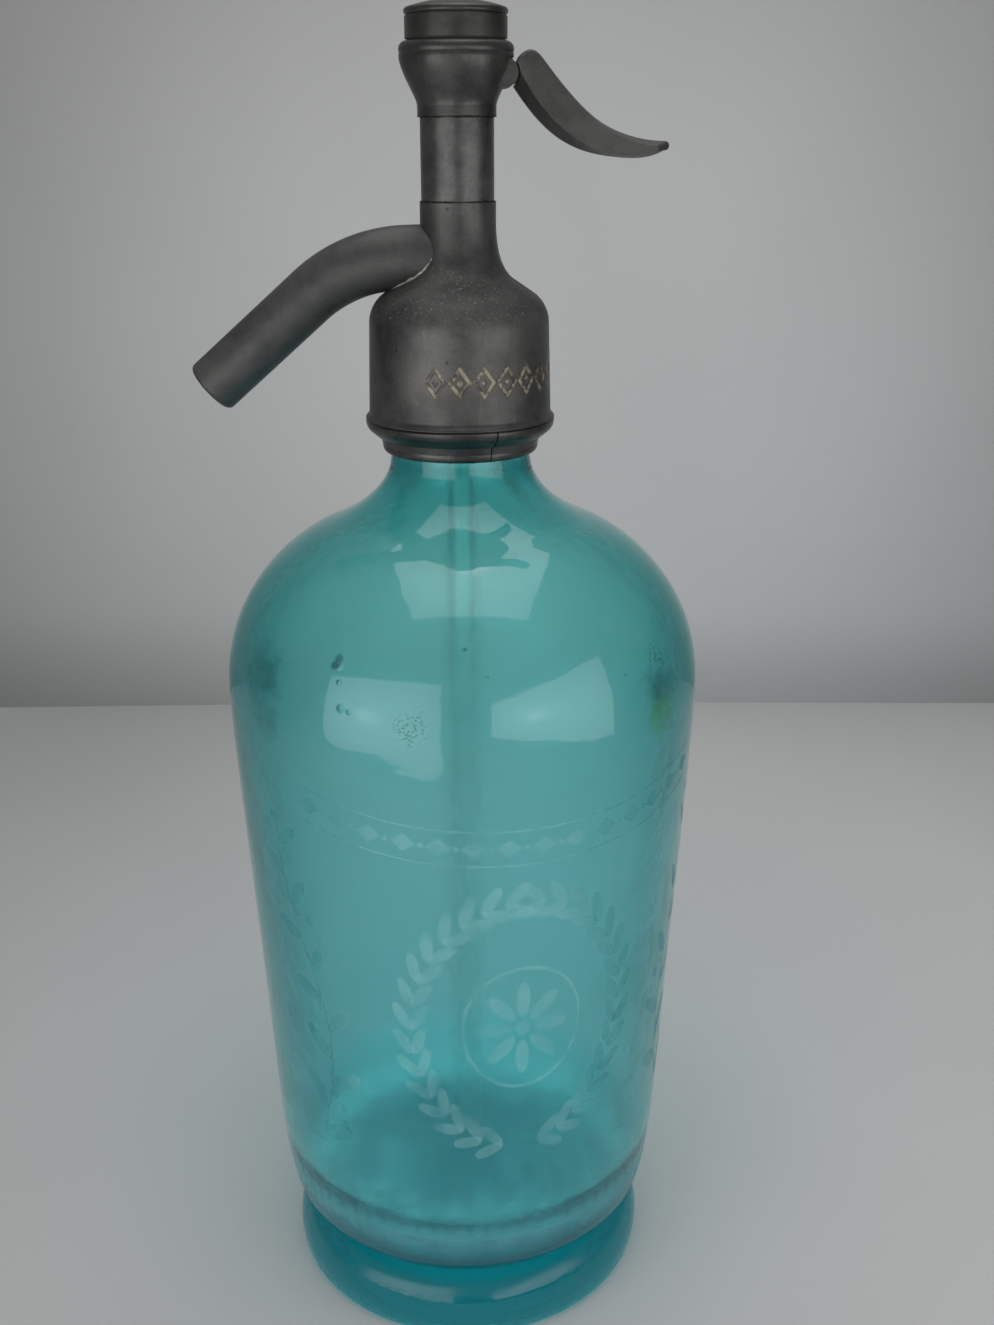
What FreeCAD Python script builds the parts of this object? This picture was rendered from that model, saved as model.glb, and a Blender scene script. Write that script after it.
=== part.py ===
import FreeCAD, Part
import math
import os

# Soda siphon: a thick glass bottle on a glass foot, with a cast pewter head that
# holds a dip tube, a lift valve, a curved spout and a thumb lever.
# Millimetres, +Z up. The origin is the centre of the foot's underside, the spout
# points towards -X and the lever towards +X.

Vector = FreeCAD.Vector
UP = Vector(0, 0, 1)
SIDE = Vector(0, 1, 0)

# Fits and clearances
fit_gap = 0.05          # radial clearance of a screwed, pressed or running fit
free_gap = 0.3          # clearance between pieces that move past each other
tip_gap = 0.1           # play of the lever's tip in the piston's window
slot_gap = 0.2          # play of the lever between the cheeks of its housing
groove_depth = 0.25     # shallow turned line between two mouldings
edge_round = 0.5        # small rounding on turned edges

# Glass bottle: levels are heights above the table
foot_radius = 46.2
foot_widest = 6.5       # level at which the foot is widest
foot_height = 16.0
foot_bulge = 3.1        # how far the foot's edge swells past its flat underside
recess_radius = 33.0    # hollow under the foot
recess_depth = 4.0
waist_height = 2.6      # round groove between the foot and the body
heel_radius = 47.5
heel_width = 8.5
heel_height = 9.45
heel_turn = 13.0        # degrees of the heel's oval left out where the side begins
side_low_radius = 50.2
side_low_level = 51.0
body_radius = 56.25
shoulder_drop = 70.0    # widest level of the bottle below its top
side_blend = 16.0       # height over which the side turns upright below that level
shoulder_width = 43.3
shoulder_height = 41.0
shoulder_turn = 66.0    # degrees of the shoulder's oval before the neck begins
neck_radius = 16.1
neck_length = 17.0      # straight neck at the top of the bottle
bottle_height = 233.0
glass_wall = 4.7
mouth_radius = 10.0
floor_level = 27.0
floor_round = 14.0
lip_height = 6.0        # glass lip that the split ring grips
lip_step = 1.7
lip_round = 1.2

# Dip tube and its fixing
tube_radius = 3.7
tube_bore = 2.2
tube_clearance = 6.0    # open end of the tube above the bottle's floor
grommet_wall = 4.2
grommet_height = 5.5
tube_nut_height = 4.8
tube_nut_inset = 1.5    # how far the nut is screwed past the ceiling of the head
tube_insertion = 3.0    # how far the tube reaches past the grommet

# Split ring under the glass lip
ring_thread_wall = 0.6
ring_belly = 2.3        # rounded height of the flange that closes the skirt
ring_cone_step = 0.8
ring_cone_height = 1.5
ring_notch = 0.6
ring_rim_height = 3.6
ring_rim_taper = 0.5
ring_split = 0.3
ring_split_turn = -67.7     # degrees of the first split from +X
gasket_thickness = 2.0

# Lower casting of the head: levels are heights above its ceiling
skirt_wall = 1.85
skirt_drop = 10.5
skirt_edge_step = 0.85  # the skirt flares out to its lower edge
skirt_edge_height = 1.9
skirt_draft = 0.5       # the skirt narrows by this much towards the top
skirt_height = 10.7
skirt_round = 8.0
skirt_slope = 34.0      # degrees of the cone above the rounded shoulder
flare_width = 3.95
flare_height = 12.3
flare_pull = 3.2        # how long the flare follows the cone before it turns up
lower_stem_wall = 2.15
head_height = 36.9
chamber_radius = 5.6

# Valve
seat_bore = 2.3
seat_bush_wall = 1.7
seat_bush_height = 3.0
seat_flange_height = 1.0
seat_lip_wall = 0.8
seat_lip_height = 0.5
seat_level = 12.3       # underside of the seat's bush above the head's ceiling
valve_washer_radius = 3.6
valve_washer_thickness = 2.0
valve_washer_proud = 0.7
cup_wall = 0.55
cup_roof = 1.2
screw_head_radius = 1.7
screw_head_height = 0.8
screw_radius = 0.9
screw_length = 4.0

# Spout
spout_level = 24.9      # height of its root above the head's ceiling
spout_root_radius = 7.4
spout_radius = 6.35
spout_bore = 4.2
spout_run = 11.5        # level run from the axis to the bend
spout_bend = 33.0
spout_turn = 41.0       # degrees
spout_reach = 31.2      # straight length after the bend
spout_lip_round = 1.1
spout_spigot_wall = 1.2
spout_spigot_depth = 3.0

# Stem between the two castings
stem_length = 17.3
stem_radius = 8.03
stem_bore = 3.6
stem_spigot_radius = 6.2
stem_spigot_length = 4.1
stem_washer_thickness = 0.8
guide_length = 2.8
packing_radius = 4.4
packing_height = 2.7
gland_height = 3.3
gland_proud = 0.35      # how far the gland nut stands out of the stem
gland_slot = 1.0

# Piston
rod_radius = 1.9
rod_tip_radius = 1.3
piston_head_radius = 3.6
piston_head_top = 2.1   # metal above the window
piston_head_foot = 1.8  # metal below the window
spring_pin_radius = 2.1
spring_pin_height = 2.4

# Upper casting, which houses the lever's inner end
collar_step = 0.52
collar_height = 2.3
housing_height = 15.15
housing_radius = 12.3
housing_floor = 3.2
cavity_radius = 8.2
rim_round = 1.6
rim_step = 0.05         # the rim stands out past the bulb below it
rim_groove = 0.12       # depth of the fine line between the rim and the bulb
bulb_edge_height = 0.9  # rounding of the bulb's top edge
bulb_foot_pull = 1.9    # height over which the bulb leaves its collar almost upright
bulb_foot_swell = 0.15  # how far it widens over that height
bulb_top_pull = 3.4     # height over which it closes up to the rim
bulb_top_swell = 0.3
thread_height = 2.8

# Lever and its pin
pivot_reach = 10.0      # pin from the axis of the siphon
pivot_level = 8.8       # pin above the foot of the upper casting
pin_radius = 1.1
pin_length = 9.2
knuckle_radius = 3.1
knuckle_width = 10.4
hub_width = 5.0
hub_radius = 2.7
web_overlap = 1.4       # how far the hub's web runs into the lever's arm
web_half_height = 2.16
tongue_width = 3.0
tongue_neck = 1.9
tip_radius = 1.5
lever_travel = 16.0     # degrees
lever_width = 10.4
lever_reach = 34.9      # pin to the lever's tip, level
lever_flat = 3.0        # middle strip of the lever at its full depth

# Cap and spring
cap_radius = 10.95
cap_height = 7.85
cap_crown = 1.7
cap_edge_height = 1.5
cap_edge_step = 0.15
cap_roof = 3.6
cap_bore = 6.8
cap_pin_height = 1.2    # pin in the cap's ceiling that centres the spring
cap_washer_thickness = 0.4
cap_spigot_radius = 9.0
spring_washer_thickness = 0.6
spring_washer_radius = 5.0
spring_radius = 3.0
spring_wire = 0.8
spring_turns = 5


# ---- helpers -------------------------------------------------------------
def at(radius, level):
    return Vector(radius, 0, level)


def line(start, end):
    return Part.makeLine(start, end)


def arc(start, middle, end):
    return Part.Arc(start, middle, end).toShape()


def bezier(*poles):
    curve = Part.BezierCurve()
    curve.setPoles(list(poles))
    return curve.toShape()


def oval(centre, half_width, half_height, start, end):
    """Arc of an ellipse, its angles in degrees from +X towards +Z."""
    circle = Part.Circle(Vector(0, 0, 0), Vector(0, -1, 0), 1)
    circle.XAxis = Vector(1, 0, 0)
    unit = Part.ArcOfCircle(circle, math.radians(start), math.radians(end)).toShape()
    stretch = FreeCAD.Matrix()
    stretch.scale(half_width, 1, half_height)
    stretch.move(centre)
    return unit.transformGeometry(stretch)


def chain(*points):
    return [line(start, end) for start, end in zip(points[:-1], points[1:])]


def turned(edges):
    """Solid turned about the vertical axis from an outline in the XZ plane."""
    wire = Part.Wire(Part.__sortEdges__(edges))
    return Part.Face(wire).revolve(Vector(0, 0, 0), UP, 360)


def turned_points(*points):
    return turned(chain(*points, points[0]))


def disc(radius, bottom, top):
    return Part.makeCylinder(radius, top - bottom, at(0, bottom))


def ring(outer, inner, bottom, top):
    return disc(outer, bottom, top).cut(disc(inner, bottom, top))


def cross_cylinder(radius, centre, length):
    """Cylinder along Y, centred on the XZ plane."""
    return Part.makeCylinder(radius, length, centre - SIDE * (length / 2), SIDE)


def cross_slab(edges, width):
    """Outline in the XZ plane thickened evenly to both sides of it."""
    wire = Part.Wire(Part.__sortEdges__(edges))
    wire.translate(SIDE * (-width / 2))
    return Part.Face(wire).extrude(SIDE * width)


def block(x_low, x_high, width, z_low, z_high):
    corner = Vector(x_low, -width / 2, z_low)
    return Part.makeBox(x_high - x_low, width, z_high - z_low, corner)


def rounded(shape, radius, wanted):
    """Round the edges for which wanted(edge) is true."""
    edges = [edge for edge in shape.Edges if wanted(edge)]
    return shape.makeFillet(radius, edges)


def circle_at(level, radius):
    """Test for a whole horizontal circle of this size at this level."""
    def wanted(edge):
        box = edge.BoundBox
        flat = box.ZLength < 1e-4 and abs(box.ZMin - level) < 1e-4
        return flat and abs(box.XMax - radius) < 1e-3 and abs(box.XMin + radius) < 1e-3
    return wanted


# ---- shared levels and fits ----------------------------------------------
heel_level = foot_height + waist_height + heel_height
shoulder_level = bottle_height - shoulder_drop
neck_level = bottle_height - neck_length
lip_radius = neck_radius + lip_step
lip_level = bottle_height - lip_height
thread_radius = lip_radius + ring_thread_wall
head_level = bottle_height + gasket_thickness
skirt_foot = head_level - skirt_drop
socket_radius = tube_radius + grommet_wall
socket_top = head_level + tube_nut_inset + grommet_height
tube_top = socket_top + tube_insertion
seat_foot = head_level + seat_level
seat_shelf = seat_foot + seat_bush_height
valve_level = seat_shelf + seat_flange_height + seat_lip_height
spout_axis = head_level + spout_level
stem_foot = head_level + head_height
stem_top = stem_foot + stem_length
washer_shelf = stem_foot - stem_spigot_length - stem_washer_thickness
lower_stem_radius = stem_spigot_radius + fit_gap + lower_stem_wall
cavity_level = stem_top + housing_floor
housing_top = stem_top + housing_height
pivot = at(pivot_reach, stem_top + pivot_level)
half_travel = math.radians(lever_travel / 2)
window_level = pivot.z - pivot_reach * math.sin(half_travel)
window_half = tip_radius + tip_gap
piston_foot = window_level - window_half - piston_head_foot
piston_top = window_level + window_half + piston_head_top
cap_level = housing_top + cap_washer_thickness
cap_ceiling = cap_level + cap_height - cap_roof
spring_top = cap_ceiling - spring_washer_thickness
packing_floor = cavity_level + gland_proud - gland_height - packing_height


# ---- bottle ---------------------------------------------------------------
def side_edges(inset, neck, neck_foot):
    """Side, shoulder and neck of the bottle, moved inwards by inset."""
    low = at(side_low_radius - inset, side_low_level)
    high = at(body_radius - inset, shoulder_level)
    taper = (high - low) * (2 / 3)
    side = bezier(low, low + taper, high - UP * side_blend, high)
    centre = at(body_radius - shoulder_width, shoulder_level)
    half_width = shoulder_width - inset
    half_height = shoulder_height - inset
    shoulder = oval(centre, half_width, half_height, 0, shoulder_turn)
    turn = math.radians(shoulder_turn)
    start = centre + at(half_width * math.cos(turn), half_height * math.sin(turn))
    heading = at(-half_width * math.sin(turn), half_height * math.cos(turn)).normalize()
    end = at(neck, neck_foot)
    reach = (start - end).Length / 3
    flare = bezier(start, start + heading * reach, end - UP * reach, end)
    return [side, shoulder, flare]


def glass_bottle():
    foot_flat = foot_radius - foot_bulge
    heel_inner = heel_radius - heel_width
    waist_round = waist_height / 2
    recess_sphere = (recess_radius ** 2 + recess_depth ** 2) / (2 * recess_depth)
    half_chord = recess_radius / 2
    recess_sag = recess_sphere - math.sqrt(recess_sphere ** 2 - half_chord ** 2)
    low = at(side_low_radius, side_low_level)
    turn = math.radians(heel_turn)
    heel_top = at(heel_inner + heel_width * math.cos(turn),
                  heel_level - heel_height * math.sin(turn))
    heel_slope = heel_width * math.tan(turn) / heel_height
    rise = (side_low_level - heel_top.z) / 3
    taper = at(body_radius, shoulder_level) - low
    slope = taper.x / taper.z
    lip_foot = at(lip_radius, lip_level + lip_step)
    outer = [
        arc(at(0, recess_depth), at(half_chord, recess_depth - recess_sag), at(recess_radius, 0)),
        line(at(recess_radius, 0), at(foot_flat, 0)),
        oval(at(foot_flat, foot_widest), foot_bulge, foot_widest, -90, 0),
        oval(at(heel_inner, foot_widest),
             foot_radius - heel_inner, foot_height - foot_widest, 0, 90),
        arc(at(heel_inner, foot_height),
            at(heel_inner - waist_round, foot_height + waist_round),
            at(heel_inner, foot_height + waist_height)),
        oval(at(heel_inner, heel_level), heel_width, heel_height, -90, -heel_turn),
        bezier(heel_top, heel_top + at(heel_slope * rise, rise),
               low - at(slope * rise, rise), low),
        *side_edges(0, neck_radius, neck_level),
        line(at(neck_radius, neck_level), at(neck_radius, lip_level)),
        line(at(neck_radius, lip_level), lip_foot),
        line(lip_foot, at(lip_radius, bottle_height)),
        line(at(lip_radius, bottle_height), at(mouth_radius, bottle_height)),
    ]
    inner_low = at(side_low_radius - glass_wall, side_low_level)
    floor_edge = at(inner_low.x - floor_round, floor_level)
    corner = at(inner_low.x, floor_level + floor_round)
    bore_foot = neck_level - (neck_radius - mouth_radius) / 2
    inner = [
        line(at(mouth_radius, bottle_height), at(mouth_radius, bore_foot)),
        *side_edges(glass_wall, mouth_radius, bore_foot),
        line(inner_low, corner),
        oval(corner - at(floor_round, 0), floor_round, floor_round, -90, 0),
        line(floor_edge, at(0, floor_level)),
        line(at(0, floor_level), at(0, recess_depth)),
    ]
    bottle = turned(outer + inner)
    bottle = rounded(bottle, lip_round, circle_at(bottle_height, lip_radius))
    return rounded(bottle, lip_round, circle_at(bottle_height, mouth_radius))


# ---- dip tube and neck fittings ----------------------------------------------
def dip_tube():
    return ring(tube_radius, tube_bore, floor_level + tube_clearance, tube_top)


def tube_grommet():
    return ring(socket_radius - fit_gap, tube_radius + fit_gap,
                socket_top - grommet_height, socket_top)


def tube_nut():
    top = socket_top - grommet_height
    foot = top - tube_nut_height
    radius = socket_radius - fit_gap
    nut = ring(radius, tube_radius + 2 * fit_gap, foot, top)
    slot = block(-radius, radius, gland_slot, foot, foot + gland_slot)
    return nut.cut(slot)


def neck_gasket():
    return ring(lip_radius, socket_radius + free_gap, bottle_height, head_level)


def skirt_edge_radius():
    return thread_radius + skirt_wall + skirt_draft + skirt_edge_step


def neck_ring():
    """The whole split ring before it is sawn in two."""
    bore = neck_radius + fit_gap
    thread = thread_radius - fit_gap
    top = lip_level - fit_gap
    lip_gap = lip_step - fit_gap
    flange = skirt_edge_radius()
    flange_top = skirt_foot - fit_gap
    flange_edge = at(flange, flange_top - groove_depth)
    belly_foot = flange_top - ring_belly
    cone_foot = belly_foot - ring_cone_height
    foot = cone_foot - ring_rim_height
    belly = at(flange - ring_cone_step, belly_foot)
    cone = at(belly.x - ring_cone_height - ring_notch / 2, cone_foot)
    rim_top = at(cone.x - ring_notch, cone_foot)
    rim_foot = at(rim_top.x - ring_rim_taper, foot + ring_rim_height / 2)
    edge = at(bore + (rim_foot.x - bore) / 3, foot)
    return turned([
        line(at(bore, foot), edge),
        bezier(edge, at(rim_foot.x, foot), rim_foot),
        *chain(rim_foot, rim_top, cone, belly),
        bezier(belly, belly + at(ring_cone_step, ring_cone_step), flange_edge),
        *chain(flange_edge, at(flange - groove_depth, flange_top), at(thread, flange_top),
               at(thread, top + lip_gap), at(bore + lip_gap, top + lip_gap),
               at(bore, top), at(bore, foot)),
    ])


def neck_ring_half(side):
    """One half of the split ring: side is 1 for the front half, -1 for the back one."""
    reach = 2 * thread_radius
    half = Part.makeBox(2 * reach, reach, 2 * reach,
                        Vector(-reach, ring_split / 2, skirt_foot - reach))
    turn = ring_split_turn if side > 0 else ring_split_turn + 180
    half.rotate(Vector(0, 0, 0), UP, turn)
    return neck_ring().common(half)


# ---- lower casting ------------------------------------------------------------
def head_outline():
    """Outside of the lower casting, from the skirt's foot to the joint with the stem."""
    wall_foot = thread_radius + skirt_wall + skirt_draft
    wall_top = thread_radius + skirt_wall
    edge = skirt_edge_radius()
    edge_top = at(edge, skirt_foot + groove_depth)
    wall_start = at(wall_foot, skirt_foot + skirt_edge_height)
    round_centre = at(wall_top - skirt_round, head_level + skirt_height)
    normal = math.radians(90 - skirt_slope)
    slope = math.radians(skirt_slope)
    round_end = round_centre + at(math.cos(normal), math.sin(normal)) * skirt_round
    half_normal = at(math.cos(normal / 2), math.sin(normal / 2))
    round_middle = round_centre + half_normal * skirt_round
    flare_start_radius = lower_stem_radius + flare_width
    cone_run = round_end.x - flare_start_radius
    flare_start = round_end + at(-cone_run, cone_run * math.tan(slope))
    flare_end = flare_start + at(-flare_width, flare_height)
    pull = at(-math.cos(slope), math.sin(slope)) * flare_pull
    rise = flare_height / 2
    return [
        *chain(at(thread_radius, skirt_foot), at(edge - groove_depth, skirt_foot), edge_top),
        bezier(edge_top, at(edge, edge_top.z + skirt_edge_height / 3),
               wall_start - UP * (skirt_edge_height / 2), wall_start),
        line(wall_start, at(wall_top, round_centre.z)),
        arc(at(wall_top, round_centre.z), round_middle, round_end),
        line(round_end, flare_start),
        bezier(flare_start, flare_start + pull, flare_end - UP * rise, flare_end),
        line(flare_end, at(lower_stem_radius, stem_foot)),
    ]


def head_blank():
    """Lower casting with nothing bored out of it."""
    return turned(head_outline() + chain(
        at(lower_stem_radius, stem_foot), at(0, stem_foot), at(0, skirt_foot),
        at(thread_radius, skirt_foot)))


def head_body():
    bush = seat_bore + seat_bush_wall
    bores = [
        disc(thread_radius, skirt_foot, head_level),
        disc(socket_radius, head_level, socket_top),
        disc(tube_radius + fit_gap, socket_top, tube_top),
        disc(tube_bore, tube_top, seat_foot),
        disc(bush, seat_foot, seat_shelf),
        disc(chamber_radius, seat_shelf, washer_shelf),
        disc(stem_spigot_radius + fit_gap, washer_shelf, stem_foot),
        spout_passage(spout_bore, 0),
        spout_passage(spout_bore + spout_spigot_wall + fit_gap, spout_socket_floor()),
    ]
    return head_blank().cut(Part.makeCompound(bores)).removeSplitter()


def spout_socket_floor():
    """Distance from the axis to the floor of the spout's socket."""
    return lower_stem_radius - spout_spigot_depth + fit_gap


def spout_passage(radius, start):
    """Level drilling towards -X from this distance off the axis."""
    length = spout_run - start
    return Part.makeCylinder(radius, length, at(-start, spout_axis), Vector(-1, 0, 0))


def valve_seat():
    bush = seat_bore + seat_bush_wall - fit_gap
    flange = chamber_radius - fit_gap
    lip = seat_bore + seat_lip_wall
    flange_top = seat_shelf + seat_flange_height
    return turned_points(
        at(seat_bore, seat_foot), at(bush, seat_foot), at(bush, seat_shelf),
        at(flange, seat_shelf), at(flange, flange_top), at(lip, flange_top),
        at(lip, valve_level), at(seat_bore, valve_level))


# ---- spout --------------------------------------------------------------------
def spout_path():
    """Root, both ends of the bend, mouth, middle of the bend, and the mouth's heading."""
    turn = math.radians(spout_turn)
    bend_start = at(-spout_run, spout_axis)

    def bent(angle):
        return bend_start + at(-math.sin(angle), math.cos(angle) - 1) * spout_bend

    heading = at(-math.cos(turn), -math.sin(turn))
    mouth = bent(turn) + heading * spout_reach
    return at(0, spout_axis), bend_start, bent(turn), mouth, bent(turn / 2), heading


def swept_round(path, start_radius, end_radius):
    """Round bar along the path, its radius running from the first to the second."""
    wire = Part.Wire(path)
    first = wire.OrderedVertexes[0].Point
    last = wire.OrderedVertexes[-1].Point
    start_heading = path[0].tangentAt(path[0].FirstParameter)
    end_heading = path[-1].tangentAt(path[-1].LastParameter)
    sections = [Part.Wire(Part.makeCircle(start_radius, first, start_heading)),
                Part.Wire(Part.makeCircle(end_radius, last, end_heading))]
    return wire.makePipeShell(sections, True, False)


def spout():
    root, bend_start, bend_end, mouth, bend_middle, heading = spout_path()
    level_run = line(root, bend_start)
    bend = arc(bend_start, bend_middle, bend_end)
    curved = swept_round([level_run, bend], spout_root_radius, spout_radius)
    straight = Part.makeCylinder(spout_radius, spout_reach, bend_end, heading)
    straight = rounded(straight, spout_lip_round, lambda edge: (
        edge.BoundBox.Center - mouth).Length < spout_radius / 4)
    outside = curved.fuse(straight).cut(head_blank())
    spigot = spout_passage(spout_bore + spout_spigot_wall, spout_socket_floor() + fit_gap)
    bore = [
        spout_passage(spout_bore, 0),
        swept_round([bend], spout_bore, spout_bore),
        Part.makeCylinder(spout_bore, spout_reach, bend_end, heading),
    ]
    return outside.fuse(spigot).cut(Part.makeCompound(bore)).removeSplitter()


# ---- stem, gland and piston -------------------------------------------------------
def stem_tube():
    foot = stem_foot - stem_spigot_length
    guide_foot = packing_floor - guide_length
    guide = rod_radius + fit_gap
    return turned_points(
        at(stem_bore, foot), at(stem_spigot_radius, foot), at(stem_spigot_radius, stem_foot),
        at(stem_radius, stem_foot), at(stem_radius, stem_top), at(stem_spigot_radius, stem_top),
        at(stem_spigot_radius, cavity_level), at(packing_radius, cavity_level),
        at(packing_radius, packing_floor), at(guide, packing_floor), at(guide, guide_foot),
        at(stem_bore, guide_foot - (stem_bore - guide)))


def stem_washer():
    return ring(stem_spigot_radius, stem_bore, washer_shelf,
                washer_shelf + stem_washer_thickness)


def gland_packing():
    return ring(packing_radius - fit_gap, rod_radius + fit_gap,
                packing_floor, packing_floor + packing_height)


def gland_nut():
    foot = packing_floor + packing_height
    top = foot + gland_height
    radius = packing_radius - fit_gap
    nut = ring(radius, rod_radius + fit_gap, foot, top)
    return nut.cut(block(-radius, radius, gland_slot, top - gland_slot, top))


def piston_rod():
    cup_radius = valve_washer_radius + cup_wall
    cup_foot = valve_level + valve_washer_proud
    washer_top = valve_level + valve_washer_thickness
    cup_top = washer_top + cup_roof
    screw_hole = screw_radius + fit_gap
    hole_top = valve_level + screw_length + fit_gap
    pocket = valve_washer_radius + fit_gap
    tip = window_level - window_half
    return turned_points(
        at(pocket, cup_foot), at(cup_radius, cup_foot), at(cup_radius, cup_top),
        at(rod_radius, cup_top), at(rod_radius, piston_foot), at(rod_tip_radius, piston_foot),
        at(rod_tip_radius, tip), at(0, tip), at(0, hole_top), at(screw_hole, hole_top),
        at(screw_hole, washer_top), at(pocket, washer_top))


def piston_head():
    body = disc(piston_head_radius, piston_foot, piston_top)
    body = body.fuse(disc(spring_pin_radius, piston_top, piston_top + spring_pin_height))
    socket = disc(rod_tip_radius + fit_gap, piston_foot, window_level)
    window = block(-2 * piston_head_radius, 2 * piston_head_radius,
                   tongue_width + 2 * slot_gap,
                   window_level - window_half, window_level + window_half)
    return body.cut(socket).cut(window)


def valve_washer():
    return ring(valve_washer_radius, screw_radius + fit_gap, valve_level,
                valve_level + valve_washer_thickness)


def washer_screw():
    head = disc(screw_head_radius, valve_level - screw_head_height, valve_level)
    shank = disc(screw_radius, valve_level, valve_level + screw_length)
    slot = block(-screw_head_radius, screw_head_radius, screw_head_height / 2,
                 valve_level - screw_head_height, valve_level - screw_head_height / 2)
    return head.fuse(shank).cut(slot)


# ---- upper casting -------------------------------------------------------------
def lever_housing():
    collar = stem_radius + collar_step
    collar_top = stem_top + collar_height
    rim_centre = at(housing_radius + rim_step - rim_round, housing_top - rim_round)
    groove_angle = math.acos(1 - (rim_groove + rim_step) / rim_round)
    groove = rim_centre + at(math.cos(groove_angle), -math.sin(groove_angle)) * rim_round
    shoulder = groove.z - bulb_edge_height
    outside = turned([
        line(at(0, stem_top), at(collar, stem_top)),
        line(at(collar, stem_top), at(collar, collar_top)),
        bezier(at(collar, collar_top), at(collar + bulb_foot_swell, collar_top + bulb_foot_pull),
               at(housing_radius - bulb_top_swell, shoulder - bulb_top_pull),
               at(housing_radius, shoulder)),
        oval(at(groove.x, shoulder), rim_groove, bulb_edge_height, 0, 90),
        arc(groove, rim_centre + at(rim_round, 0), rim_centre + UP * rim_round),
        line(rim_centre + UP * rim_round, at(0, housing_top)),
        line(at(0, housing_top), at(0, stem_top)),
    ])
    knuckle = cross_cylinder(knuckle_radius, pivot, knuckle_width)
    thread_foot = housing_top - thread_height
    slot_half = knuckle_radius + fit_gap
    slot = block(0, 2 * housing_radius, hub_width + 2 * slot_gap,
                 pivot.z - slot_half, pivot.z + slot_half)
    hollows = [
        disc(stem_spigot_radius + fit_gap, stem_top, cavity_level),
        disc(cavity_radius, cavity_level, thread_foot),
        disc(cap_spigot_radius + fit_gap, thread_foot, housing_top),
        cross_cylinder(pin_radius + fit_gap / 2, pivot, pin_length + fit_gap),
        slot,
    ]
    return outside.fuse(knuckle).cut(Part.makeCompound(hollows)).removeSplitter()


def lever_pin():
    return cross_cylinder(pin_radius, pivot, pin_length)


# ---- lever --------------------------------------------------------------------
def smooth(*points):
    curve = Part.BSplineCurve()
    curve.interpolate(list(points))
    return curve.toShape()


def lever_outline(middle):
    """Closed outline of the lever's arm, at its middle or at its narrower flanks.

    Both outlines have four stretches: the back, the tip, the belly and the seat
    that turns about the knuckle. Their points are shares of the reach from the pin.
    """
    seat = knuckle_radius + free_gap

    def point(x, z):
        return pivot + at(x, z) * lever_reach

    def seated(angle):
        heading = at(math.cos(math.radians(angle)), math.sin(math.radians(angle)))
        return pivot + heading * seat

    if middle:
        top = seated(38)
        foot = seated(-52)
        back = smooth(top, point(0.100, 0.100), point(0.172, 0.132), point(0.258, 0.063),
                      point(0.410, -0.115), point(0.599, -0.281), point(0.788, -0.364),
                      point(1.000, -0.395))
        tip = arc(point(1.000, -0.395), point(1.029, -0.418), point(0.997, -0.450))
        belly = smooth(point(0.997, -0.450), point(0.877, -0.490), point(0.705, -0.490),
                       point(0.479, -0.444), point(0.324, -0.364), point(0.172, -0.223), foot)
        hollow = arc(foot, seated(3), top)
    else:
        top = seated(34)
        foot = seated(10)
        back = smooth(top, point(0.115, 0.092), point(0.175, 0.117), point(0.252, 0.054),
                      point(0.401, -0.123), point(0.590, -0.295), point(0.759, -0.384),
                      point(0.923, -0.421))
        tip = arc(point(0.923, -0.421), point(0.946, -0.436), point(0.923, -0.456))
        belly = smooth(point(0.923, -0.456), point(0.837, -0.476), point(0.705, -0.476),
                       point(0.519, -0.421), point(0.352, -0.315), point(0.209, -0.166), foot)
        hollow = arc(foot, seated(22), top)
    return [back, tip, belly, hollow]


def lever_flank(side):
    inner = Part.Wire(lever_outline(True))
    outer = Part.Wire(lever_outline(False))
    inner.translate(SIDE * (side * lever_flat / 2))
    outer.translate(SIDE * (side * lever_width / 2))
    return Part.makeLoft([inner, outer], True, True)


def lever():
    arm = cross_slab(lever_outline(True), lever_flat)
    arm = arm.fuse([lever_flank(1), lever_flank(-1)])
    arm = arm.cut(cross_cylinder(knuckle_radius + free_gap, pivot, 2 * lever_width))
    web = block(0, knuckle_radius + web_overlap, hub_width, -web_half_height, web_half_height)
    web.translate(pivot)
    hub = cross_cylinder(hub_radius, pivot, hub_width)
    tip = at(-pivot_reach, 0)
    half_neck = tongue_neck / 2
    neck_end = -pivot_reach / 2
    root = -hub_radius / 2
    tongue = cross_slab(chain(
        tip + at(0, half_neck), at(neck_end, half_neck), at(root, web_half_height),
        at(0, web_half_height), at(0, -web_half_height), at(root, -web_half_height),
        at(neck_end, -half_neck), tip + at(0, -half_neck), tip + at(0, half_neck)),
        tongue_width)
    tongue = tongue.fuse(cross_cylinder(tip_radius, tip, tongue_width))
    tongue.rotate(Vector(0, 0, 0), SIDE, -lever_travel / 2)
    tongue.translate(pivot)
    bore = cross_cylinder(pin_radius + fit_gap, pivot, 2 * lever_width)
    return arm.fuse([web, hub, tongue]).cut(bore).removeSplitter()


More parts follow.
